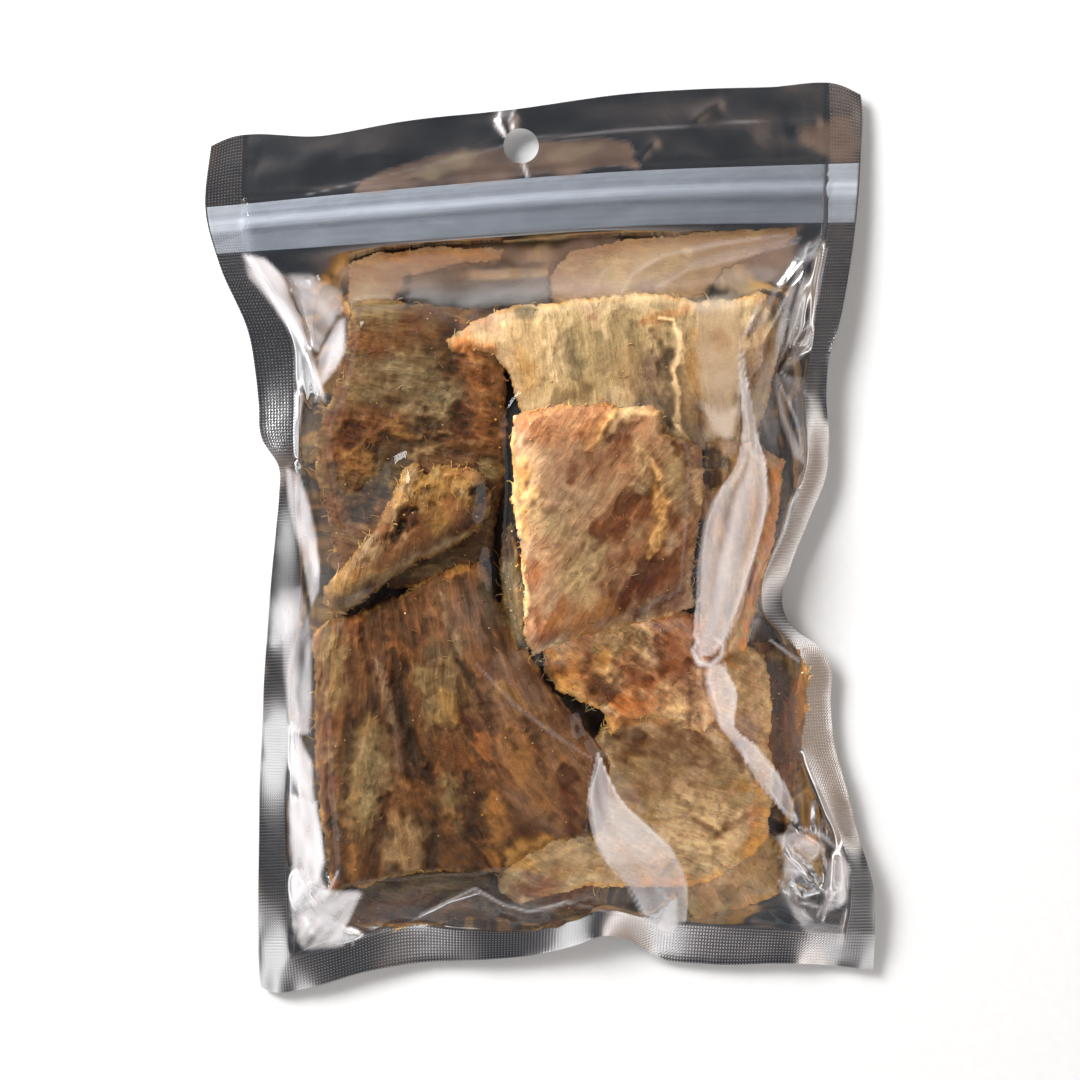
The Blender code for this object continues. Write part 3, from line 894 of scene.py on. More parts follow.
class FishPiece:
    """One dried piece: a ragged outline, a rough top with its marks, and cut sides."""

    def __init__(self, name, film):
        self.name = name
        self.spec = {**PLAIN_PIECE, **PIECES[name]}
        self.seed = self.spec["seed"]
        self.outline = photo_to_mm(self.spec["outline"], self.spec["top"])
        self.middle = np.mean(self.outline, axis=0)
        self.lay_grid(1.5)
        self.lay_fibres()
        self.shape_top()
        self.colour_top()
        self.lay_under(film)

    def rough(self, size, turn, octaves=4):
        """The piece's own noise. Each turn gives another one."""
        return rough(self.x, self.y, size, self.seed + turn, octaves)

    def lay_grid(self, margin):
        """Lays a grid over the outline and finds how deep inside the ragged rim each point is."""
        step = self.spec["step"]
        low, high = np.min(self.outline, axis=0) - margin, np.max(self.outline, axis=0) + margin
        self.x, self.y = np.meshgrid(np.arange(low[0], high[0], step), np.arange(low[1], high[1], step))
        fray = self.spec["fray"] * (1.1 * self.rough(3.1, 3, 3) + 0.8 * self.rough(1.1, 1, 2))
        self.depth = inside_depth(self.outline, self.x, self.y) + 0.8 * self.rough(6.0, 2) + fray
        slope_y, slope_x = np.gradient(self.depth, step)
        steep = np.hypot(slope_x, slope_y)
        self.inward = np.stack([slope_x, slope_y], -1) / np.maximum(steep, 1e-9)[..., None]
        # A point on the rim moves onto the outline, so that the rim isn't stepped
        near_rim = (self.depth > 0) & (self.depth < step)
        shift = np.where(near_rim, 0.8 * self.depth / np.maximum(steep**2, 0.25), 0.0)
        self.x, self.y = self.x - slope_x * shift, self.y - slope_y * shift

    def lay_fibres(self):
        """Finds where each point lies across the wandering fibres and down them."""
        x = self.x + 3.0 * self.rough(22.0, 4) + 0.8 * self.rough(5.0, 5)
        y = self.y + 3.0 * self.rough(26.0, 6) + 0.8 * self.rough(6.0, 6)
        self.across, self.down = turned_by(self.spec["fibres"], x, y)
        self.across += self.spec["fan"] * (self.x - self.middle[0] + 8.0) * (self.y - self.middle[1])
        self.lumps = rough(x, y, 5.5, self.seed + 7, 3)

    def shape_top(self):
        """Shapes the folds, grooves, lumps and crumbs of the top, in millimetres."""
        self.folds = ridged(self.across, self.down / 2.6, 8.0, self.seed + 8, 3) - 0.6
        grooves = ridged(self.across, self.down / 3.0, 2.4, self.seed + 9) - 0.6
        grain = self.spec["grain"] * (1.8 * self.folds + 0.5 * grooves)
        patches = smooth_step(-0.1, 0.3, self.rough(9.0, 13))
        self.crumbly = self.spec["crumbly"] * (0.4 + 0.6 * patches)
        self.relief = 0.6 * self.lumps + grain + 0.7 * self.crumbly * self.rough(1.3, 10, 2)

    def colour_top(self):
        """Marbles the top along its fibres, adds its marks and rim, and paints shade into the low places of
        its relief and light onto its crests.
        """
        across, down, seed = self.across, self.down, self.seed
        main, second, third, hollow_shade = self.spec["inks"]
        self.colour = np.zeros(self.x.shape + (3,))
        self.colour[:] = ink(main)
        # The hollow ink leans to the fold valleys and the third ink to the fold crests: partly the flesh's
        # own colour, partly painted shade and painted light.
        for name, strength, field in (
            (second, 0.85, rough(across, down / 1.6, 8.0, seed + 21) + 0.3 * self.folds),
            (third, 0.75, rough(across, down / 1.8, 4.6, seed + 22) - 0.12 + 0.6 * self.folds),
            (hollow_shade, 0.80, rough(across, down / 1.8, 5.0, seed + 23) - 0.15 - 0.6 * self.folds),
        ):
            blend(self.colour, name, strength * smooth_step(-0.05, 0.3, field))
        self.add_marks(rough(across, down / 3.5, 1.8, seed + 12, 3))
        frayed = smooth_step(1.3, 0.2, self.depth) * smooth_step(-0.25, 0.25, self.rough(1.8, 24))
        blend(self.colour, self.spec["rim"], 0.75 * frayed)
        # Painted shade and painted light: the low places of the relief take the hollow ink and are darkened,
        # its crests take the third ink and are lightened.
        fine, broad = [self.relief - blurred(self.relief, steps) for steps in (18, 90)]
        blend(self.colour, hollow_shade, 0.55 * smooth_step(0.1, 0.8, -broad))
        blend(self.colour, third, 0.45 * smooth_step(0.15, 0.8, broad))
        shading = 0.96 + 0.7 * np.clip(fine, -0.6, 0.5) + 0.5 * np.clip(broad, -1.0, 0.7)
        shading += 0.2 * self.crumbly * self.rough(1.2, 25)
        self.colour *= (shading * self.spec["gain"])[..., None]

    def add_marks(self, streaks):
        """Adds the marks to the colour and the relief, with edges that run out along the fibres."""
        turn = 11
        for name, strength, lift, width, points in self.spec["marks"]:
            away, where = line_distance(photo_to_mm(points, self.spec["top"]), self.x, self.y)
            taper = np.sqrt(4 * where * (1 - where))
            size = width * MM_PER_PIXEL * (0.45 + 0.85 * taper) * (1 + 0.5 * self.rough(7.0, turn))
            uneven = 0.8 * self.rough(2.6, turn + 1, 3) * (size + 0.5) + 0.8 * size * streaks
            ragged = np.maximum(away + uneven, 0) / size
            patchy = np.clip(0.85 + 0.6 * self.rough(3.6, turn + 2), 0.0, 1.0)
            mark = np.exp(-(ragged**2)) * strength * patchy
            blend(self.colour, name, mark)
            self.relief += 1.6 * lift * mark
            turn += 3

    def lay_under(self, film):
        """Sets the height of the top: tilted, rounded off at the rim, and no higher than the film."""
        tilt, middle = self.spec["tilt"], self.middle
        z = self.spec["top"] - 0.7 + tilt[0] * (self.x - middle[0]) + tilt[1] * (self.y - middle[1])
        z += 0.9 * self.rough(14.0, 7) + self.relief
        z -= 1.9 * (1 - np.clip(self.depth / 2.4, 0.0, 1.0)) ** 2
        room = film_top(film, self.x, self.y) - 0.3 - z
        self.z = z + room - 0.5 * (room + np.sqrt(room * room + 0.16))

    def make(self, material):
        """The piece as a closed mesh."""
        bm, number = grid_sheet(self.x, self.y, self.z)
        kept = (self.depth > 0).ravel().tolist()
        outside = [vertex for vertex in bm.verts if not kept[vertex[number]]]
        bmesh.ops.delete(bm, geom=outside, context="VERTS")
        loose = [vertex for vertex in bm.verts if not vertex.link_faces]
        bmesh.ops.delete(bm, geom=loose, context="VERTS")
        self.add_sides(bm, number)
        bmesh.ops.holes_fill(bm, edges=[edge for edge in bm.edges if edge.is_boundary], sides=0)
        bmesh.ops.triangulate(bm, faces=[face for face in bm.faces if len(face.verts) > 4])
        bmesh.ops.recalc_face_normals(bm, faces=bm.faces)
        piece = shown(self.name, bm, material)
        set_colours(piece, "tone", np.concatenate([self.colour, self.crumbly[..., None]], -1))
        set_map(piece, "fibres", self.across, self.down)
        return piece

    def add_sides(self, bm, number):
        """Adds the cut sides below the rim, layer by layer, each set in or out a little."""
        inward = self.inward.reshape(-1, 2).tolist()
        rim = [edge for edge in bm.edges if edge.is_boundary]
        for layer in range(WALL_LAYERS):
            made = bmesh.ops.extrude_edge_only(bm, edges=rim)["geom"]
            fresh = [item for item in made if isinstance(item, bmesh.types.BMVert)]
            rim = [item for item in made if isinstance(item, bmesh.types.BMEdge)]
            steps = (0.3 * self.rough(5.0, 40 + layer)).ravel().tolist()
            lowest = LOWEST + 0.1 * (WALL_LAYERS - layer)
            for vertex in fresh:
                away = steps[vertex[number]]
                vertex.co.x += away * inward[vertex[number]][0]
                vertex.co.y += away * inward[vertex[number]][1]
                vertex.co.z = max(vertex.co.z - self.spec["thick"] / WALL_LAYERS, lowest)


def one_fibre(bm, at, heading, bow, length, thickness):
    """A fine curved rod."""
    ring = bmesh.ops.create_circle(bm, segments=4, radius=thickness)["verts"]
    bmesh.ops.translate(bm, vec=at, verts=ring)
    made, edges = list(ring), list({edge for vertex in ring for edge in vertex.link_edges})
    for part in range(4):
        grown = bmesh.ops.extrude_edge_only(bm, edges=edges)["geom"]
        ring = [item for item in grown if isinstance(item, bmesh.types.BMVert)]
        edges = [item for item in grown if isinstance(item, bmesh.types.BMEdge)]
        heading += bow / 4
        rise = 0.06 if part < 2 else -0.05
        step = Vector((math.cos(heading), math.sin(heading), rise)) * length / 4
        bmesh.ops.translate(bm, vec=step, verts=ring)
        made += ring
    return made


def finish_loose(name, bm, material, tones, places):
    """An object of many loose bits, each with its own tone and place."""
    thing = shown(name, bm, material)
    set_colours(thing, "tone", np.array(tones))
    set_map(thing, "fibres", *np.array(places).T)
    return thing


def loose_fibres(fish, film, material):
    """Thin torn fibres that stand off the pieces' rims and faces, as fine closed rods."""
    random = np.random.default_rng(7)
    whole = bmesh.new()
    whole.verts.layers.int.new("number")
    tones, places = [], []
    for piece in fish:
        bm = bmesh.new()
        number = bm.verts.layers.int.new("number")
        count, turned = piece.spec["torn"], math.radians(piece.spec["fibres"])
        rim = np.flatnonzero((piece.depth > 0.1) & (piece.depth < 0.9))
        face = np.flatnonzero(piece.depth > 1.5)
        for k in [*random.choice(rim, int(count * 0.6)), *random.choice(face, int(count * 0.4))]:
            at = Vector((piece.x.flat[k], piece.y.flat[k], piece.z.flat[k] + 0.05))
            heading, bow = turned + random.normal(math.pi / 2, 0.8), random.normal(0, 1.6)
            length, thickness = random.uniform(0.7, 2.6), random.uniform(0.06, 0.14)
            for vertex in one_fibre(bm, at, heading, bow, length, thickness):
                vertex[number] = len(tones)
            tones.append(np.clip(piece.colour.reshape(-1, 3)[k] * 1.5 + (0.10, 0.07, 0.035), 0, 0.8))
            places.append((at.x, at.y))
        bmesh.ops.holes_fill(bm, edges=[edge for edge in bm.edges if edge.is_boundary], sides=6)
        part = bpy.data.meshes.new("fibres")
        bm.to_mesh(part)
        bm.free()
        whole.from_mesh(part)
        bpy.data.meshes.remove(part)
    roof = film_top(film, np.array([v.co.x for v in whole.verts]), np.array([v.co.y for v in whole.verts]))
    for vertex, limit in zip(whole.verts, roof):
        vertex.co.z = min(vertex.co.z, limit - 0.15)
    bmesh.ops.recalc_face_normals(whole, faces=whole.faces)
    return finish_loose("loose_fibres", whole, material, tones, places)


def loose_crumbs(fish, material):
    """Small crumbs of dried flesh that lie on the pieces and in the gaps."""
    random = np.random.default_rng(11)
    bm = bmesh.new()
    number = bm.verts.layers.int.new("number")
    tones, places = [], []
    for piece in fish:
        for k in random.choice(np.flatnonzero(piece.depth > 0.3), piece.spec["torn"] // 4):
            radius = random.uniform(0.10, 0.28)
            made = bmesh.ops.create_icosphere(bm, subdivisions=1, radius=radius)["verts"]
            squash = Vector((random.uniform(0.7, 1.5), random.uniform(0.7, 1.3), random.uniform(0.5, 0.9)))
            bmesh.ops.scale(bm, vec=squash, verts=made)
            spot = Vector((piece.x.flat[k], piece.y.flat[k], piece.z.flat[k] + radius * 0.4))
            bmesh.ops.translate(bm, vec=spot, verts=made)
            for vertex in made:
                vertex[number] = len(tones)
            tones.append(ink("cream") if random.random() < 0.35 else ink("gold"))
            places.append((spot.x, spot.y))
    return finish_loose("loose_crumbs", bm, material, tones, places)


# Strips of film pulled tight, which mirror the window and also take streaks of painted sheen: how steeply
# they fall to the right, how streaky the painted sheen is, and their edges
FILM_HEIGHT = 17.0
VEILS = (
    {
        "slope": 0.22,
        "streaky": 0.42,
        "left": [
            (737, 345), (740, 400), (741, 440), (735, 465), (712, 500), (697, 560), (695, 600), (693, 640),
            (694, 656),
        ],
        "right": [
            (739, 345), (751, 400), (759, 440), (765, 465), (766, 500), (753, 560), (741, 600), (724, 640),
            (712, 656),
        ],
    },
    {
        "slope": 0.21,
        "streaky": 0.3,
        "left": [(705, 664), (706, 690), (712, 710), (719, 725), (738, 750), (764, 790), (798, 828)],
        "right": [(722, 664), (736, 690), (735, 710), (734, 725), (760, 750), (789, 790), (801, 828)],
    },
    {
        "slope": 0.20,
        "streaky": 0.2,
        "left": [(596, 752), (588, 800), (600, 850), (625, 880), (650, 930)],
        "right": [(598, 752), (622, 800), (672, 850), (686, 880), (690, 930)],
    },
)

# Creases: how far they stand up in millimetres, their half width in pixels and their line
CREASES = (
    (0.9, 12, [(829, 228), (790, 280), (745, 330)]),
    (0.8, 12, [(829, 228), (800, 290), (775, 345)]),
    (0.9, 12, [(829, 228), (815, 300), (805, 360)]),
    (0.9, 14, [(774, 372), (790, 420), (805, 468)]),
    (0.7, 12, [(774, 372), (800, 345), (822, 330)]),
    (0.7, 12, [(774, 372), (750, 345), (735, 335)]),
    (0.9, 14, [(805, 468), (785, 520), (760, 590)]),
    (0.8, 12, [(805, 468), (812, 520), (800, 600)]),
    (0.8, 12, [(770, 640), (790, 652), (810, 668)]),
    (0.8, 12, [(810, 668), (806, 720), (798, 745)]),
    (0.9, 12, [(798, 745), (822, 800), (845, 855)]),
    (0.9, 12, [(800, 828), (822, 842), (845, 857)]),
    (0.8, 10, [(800, 828), (790, 870), (800, 920)]),
    (0.7, 10, [(822, 850), (828, 890), (818, 935)]),
    (1.0, 14, [(240, 252), (275, 285), (300, 330), (320, 400)]),
    (0.8, 12, [(315, 400), (335, 365), (345, 335)]),
    (0.7, 9, [(296, 350), (299, 400), (292, 455)]),
    (0.8, 12, [(280, 463), (298, 467), (312, 480)]),
    (0.9, 14, [(300, 728), (296, 770), (305, 812)]),
    (0.9, 14, [(300, 875), (325, 915), (350, 950)]),
    (0.8, 12, [(335, 880), (315, 915), (300, 945)]),
    (0.7, 10, [(345, 900), (370, 925), (392, 940)]),
    (0.6, 10, [(407, 926), (440, 905), (475, 885), (500, 905), (530, 912)]),
    (0.6, 10, [(530, 912), (565, 900), (610, 915), (640, 925)]),
    (0.8, 12, [(640, 945), (660, 920), (672, 895)]),
    (0.4, 9, [(622, 292), (634, 272), (664, 254), (720, 242), (790, 232)]),
    (0.4, 9, [(655, 288), (690, 268), (740, 256), (800, 240)]),
)

# Folds in the header, written like the creases
HEADER_FOLDS = (
    (0.3, 12, [(328, 156), (362, 148), (400, 150)]),
    (0.1, 9, [(301, 192), (400, 168), (500, 143), (533, 134), (680, 122), (832, 111)]),
    (0.2, 9, [(225, 165), (240, 150), (252, 155)]),
    (0.4, 9, [(690, 118), (712, 100), (730, 92)]),
    (0.4, 9, [(636, 160), (650, 140), (662, 132)]),
    (0.7, 6, [(499, 104), (503, 118), (510, 132)]),
    (0.6, 6, [(515, 104), (508, 118), (512, 130)]),
    (0.7, 6, [(521, 160), (526, 176)]),
    (0.25, 14, [(375, 182), (440, 165), (500, 155)]),
    (0.35, 7, [(790, 120), (830, 114)]),
)

# How far the seals' outer edges curl up: y, or u for the bottom seal, and the rise in millimetres
LEFT_CURL = (
    (-104, 0.0), (-90, 0.4), (-82, 1.9), (-70, 0.5), (-60, 0.2), (-50, 0.0), (-40, 0.1), (-33, 1.8),
    (-26, 1.8), (-15, -0.2), (-8, 0.5), (6, 0.2), (14, 0.9), (20, 2.0), (27, 1.8), (35, 1.0), (44, 0.6),
    (60, 0.3), (72, 0.4), (80, 0.8), (93, 0.9), (104, 0.9),
)
RIGHT_CURL = (
    (-104, 3.2), (-92, 2.6), (-84, 2.0), (-77, 1.2), (-71, -0.9), (-60, -0.8), (-50, -1.2), (-40, -1.2),
    (-30, -0.6), (-23, 0.9), (-16, 0.8), (-9, -0.3), (2, 0.0), (20, 0.1), (30, 1.6), (40, 1.5), (50, 1.3),
    (60, 1.2), (72, 0.8), (84, 0.4), (104, 0.0),
)
HEM_CURL = (
    (0, -0.4), (5, 0.5), (13, 1.9), (23, 1.7), (31, 1.1), (38, 0.5), (48, 0.5), (55, 1.2), (66, 1.5),
    (72, 1.7), (80, 2.1), (87, 0.8), (96, -0.3), (105, 0.2), (114, 0.8), (124, 1.2), (131, 1.6), (138, 0.5),
    (147, 0.9), (150, 1.2),
)

# Facets of the film between creases: how gathered it is, as a share of painted sheen, its rise for each mm in
# x and y, the way its streaks of painted sheen run in degrees from +Y, and its outline
FACET_HEIGHT = 12.0
FACETS = (
    (1.3, (0.1, 0.0), 4, [(284, 468), (298, 470), (308, 498), (318, 540), (322, 592), (312, 606),
     (300, 560), (290, 520)]),
    (0.9, (-0.1, 0.0), -3, [(278, 590), (300, 585), (314, 640), (312, 735), (286, 735), (280, 660)]),
    (1.4, (0.0, 0.0), 5, [(288, 795), (318, 800), (326, 860), (318, 885), (294, 880), (288, 840)]),
    (1.6, (0.0, 0.0), 35, [(237, 250), (262, 256), (283, 273), (290, 297), (300, 317), (308, 340),
     (318, 365), (326, 404), (312, 382), (304, 353), (288, 330), (272, 305), (256, 288), (245, 276)]),
    (0.6, (0.15, 0.0), 40, [(283, 273), (310, 270), (343, 290), (347, 313), (337, 317), (318, 350),
     (309, 345), (298, 312)]),
    (1.0, (-0.15, 0.0), -20, [(347, 318), (346, 353), (330, 380), (318, 392), (316, 358), (337, 318)]),
    (0.7, (0.1, 0.0), -28, [(825, 247), (810, 253), (793, 267), (772, 290), (754, 310), (743, 337),
     (748, 338), (765, 323), (778, 293), (801, 268), (826, 252)]),
    (0.85, (-0.1, 0.0), -22, [(812, 256), (800, 277), (790, 310), (784, 343), (772, 370), (770, 366),
     (774, 337), (782, 308), (791, 282)]),
    (0.65, (0.1, 0.1), -22, [(814, 270), (805, 310), (791, 343), (775, 371), (786, 340), (792, 312),
     (802, 280)]),
    (0.28, (-0.2, 0.0), -30, [(803, 313), (815, 320), (815, 338), (806, 354), (792, 367), (778, 373),
     (791, 345)]),
    (0.9, (0.1, 0.0), 22, [(772, 377), (778, 380), (789, 417), (804, 450), (806, 466), (793, 457),
     (781, 424)]),
    (0.34, (-0.2, 0.1), 18, [(778, 375), (806, 377), (815, 400), (815, 425), (808, 455), (800, 425),
     (787, 392)]),
    (0.16, (0.1, 0.0), 10, [(757, 352), (771, 375), (780, 430), (770, 470), (752, 452), (748, 400)]),
    (0.3, (0.1, 0.0), -30, [(800, 475), (786, 535), (764, 590), (744, 640), (752, 640), (778, 590),
     (796, 545)]),
    (0.9, (0.12, 0.1), 50, [(777, 836), (802, 831), (826, 846), (814, 870), (781, 890), (784, 860)]),
    (1.2, (0.25, 0.0), -5, [(830, 860), (845, 858), (853, 872), (852, 903), (840, 912), (828, 920),
     (823, 896)]),
    (0.6, (0.0, 0.2), 70, [(783, 893), (796, 902), (818, 927), (844, 928), (855, 953), (813, 946),
     (801, 927)]),
    (0.4, (-0.15, 0.0), 22, [(803, 745), (820, 762), (834, 788), (846, 850), (832, 826), (812, 776)]),
    (0.25, (0.1, 0.0), 0, [(808, 668), (816, 700), (806, 740), (799, 716)]),
    (1.4, (0.0, 0.0), 12, [(284, 728), (300, 735), (312, 760), (317, 806), (300, 809), (290, 780)]),
    (1.7, (0.0, 0.0), -40, [(290, 868), (318, 866), (328, 886), (366, 890), (356, 908), (344, 930),
     (344, 952), (300, 955), (288, 930)]),
    (1.6, (0.1, 0.1), -25, [(652, 930), (668, 900), (680, 896), (682, 925), (672, 945)]),
)

# The colour of painted sheen on gathered film, and soft clouds of painted reflection, light and dark, laid
# into the film's colour: colour, strength, how soft their edge is in millimetres and outline
MILKY_SHEEN = (0.92, 0.86, 0.87)
PAINTED_CLOUDS = (
    ("pink_tan", 0.5, 1.0, [(346, 192), (372, 170), (402, 158), (440, 148), (490, 141), (520, 142),
     (560, 134), (600, 130), (630, 138), (638, 162), (600, 168), (560, 174), (500, 180), (430, 188)]),
    ("cream", 0.4, 1.0, [(398, 176), (420, 160), (452, 150), (478, 150), (470, 166), (440, 176)]),
    ("cream", 0.4, 1.2, [(536, 150), (560, 138), (600, 134), (612, 142), (590, 154), (552, 160)]),
    ("pink_tan", 0.4, 1.5, [(800, 116), (846, 108), (860, 112), (858, 158), (836, 160), (806, 140)]),
    ("smoke", 0.5, 2.0, [(690, 122), (700, 96), (724, 88), (732, 104), (716, 124)]),
    ("pink_tan", 0.7, 3.0, [(330, 262), (440, 246), (620, 232), (805, 222), (800, 262), (770, 290),
     (640, 296), (500, 304), (400, 300), (345, 304)]),
    ("cream", 0.4, 5.0, [(560, 262), (600, 244), (700, 236), (790, 232), (740, 262), (690, 296),
     (600, 292)]),
    ("pale_flesh", 0.9, 3.0, [(688, 300), (742, 292), (744, 345), (738, 440), (700, 445), (692, 380)]),
    ("tan", 0.4, 2.5, [(346, 306), (350, 262), (380, 254), (402, 270), (396, 306)]),
    ("smoke", 1.2, 3.0, [(400, 268), (470, 258), (548, 248), (558, 298), (520, 308), (400, 306)]),
)

# Thin bright lines of painted highlight where the film is folded: half width in pixels, share and line
GLINT_LINES = (
    (2.6, 1.8, [(500, 106), (497, 120), (506, 133)]),
    (1.6, 1.2, [(514, 104), (510, 116), (513, 128)]),
    (2.4, 1.6, [(522, 158), (528, 174)]),
    (1.2, 0.25, [(301, 192), (400, 168), (500, 143), (533, 134), (680, 122), (832, 111)]),
    (2.4, 0.7, [(622, 292), (634, 272), (664, 254), (720, 242), (790, 232)]),
    (2.0, 0.6, [(655, 288), (690, 268), (740, 256), (800, 240)]),
    (1.6, 0.5, [(596, 286), (604, 270), (622, 258)]),
    (5.0, 0.35, [(690, 264), (740, 250), (800, 236)]),
    (2.8, 1.6, [(697, 638), (691, 648), (696, 660), (708, 664), (719, 655), (721, 644), (713, 637)]),
    (1.6, 0.9, [(699, 655), (706, 648), (716, 646)]),
    (2.0, 0.9, [(722, 662), (730, 690), (726, 718), (720, 727)]),
    (1.6, 0.8, [(741, 345), (744, 400), (757, 450), (766, 500), (750, 560), (738, 610), (722, 645)]),
    (1.4, 0.3, [(478, 662), (515, 702), (552, 730), (592, 756)]),
    (1.6, 0.8, [(760, 300), (748, 325), (738, 345)]),
    (2.0, 0.8, [(811, 240), (796, 280), (768, 330)]),
    (1.6, 0.8, [(829, 245), (818, 300), (806, 340)]),
    (1.8, 0.8, [(776, 376), (798, 420), (806, 466)]),
    (1.6, 0.7, [(780, 372), (812, 396), (822, 440)]),
    (1.8, 0.8, [(804, 472), (780, 540), (756, 610)]),
    (1.4, 0.7, [(800, 480), (796, 540), (780, 600)]),
    (1.6, 0.7, [(770, 640), (806, 666)]),
    (1.8, 0.8, [(800, 828), (824, 838), (846, 856)]),
    (1.6, 0.8, [(800, 832), (792, 870), (800, 910)]),
    (1.6, 0.8, [(822, 846), (832, 880), (826, 925)]),
    (1.6, 0.8, [(778, 880), (800, 905), (840, 915)]),
    (1.6, 0.7, [(596, 752), (588, 800), (600, 850), (625, 880), (650, 932)]),
    (1.4, 0.8, [(407, 926), (440, 905), (475, 886), (505, 905), (530, 912), (565, 900), (610, 915),
     (640, 925)]),
    (1.6, 0.8, [(300, 872), (330, 905), (352, 950)]),
    (1.6, 0.8, [(340, 868), (322, 905), (296, 925)]),
    (2.4, 0.6, [(246, 254), (284, 296), (302, 335), (318, 400)]),
    (1.4, 0.7, [(298, 350), (300, 400), (294, 452)]),
    (2.4, 0.5, [(315, 400), (332, 362), (345, 335)]),
)

# Where the foil clings to the film above it: half width in pixels and line
CLING_HEIGHT = 9.0
CLINGS = (
    (13, [(245, 262), (275, 295), (300, 340), (318, 395)]),
    (10, [(312, 884), (345, 896), (362, 893)]),
    (4, [(297, 395), (297, 455)]),
    (6, [(282, 462), (300, 467)]),
    (9, [(298, 730), (300, 805)]),
    (16, [(297, 885), (320, 915), (352, 945)]),
    (9, [(330, 872), (345, 900)]),
    (10, [(420, 918), (450, 900), (480, 890)]),
    (12, [(652, 928), (674, 902)]),
    (14, [(785, 850), (812, 882)]),
    (9, [(834, 862), (832, 930)]),
    (14, [(795, 935), (845, 930)]),
    (7, [(829, 235), (802, 295), (788, 345)]),
    (7, [(800, 345), (822, 332)]),
    (6, [(795, 500), (780, 550)]),
    (6, [(804, 690), (800, 745)]),
)
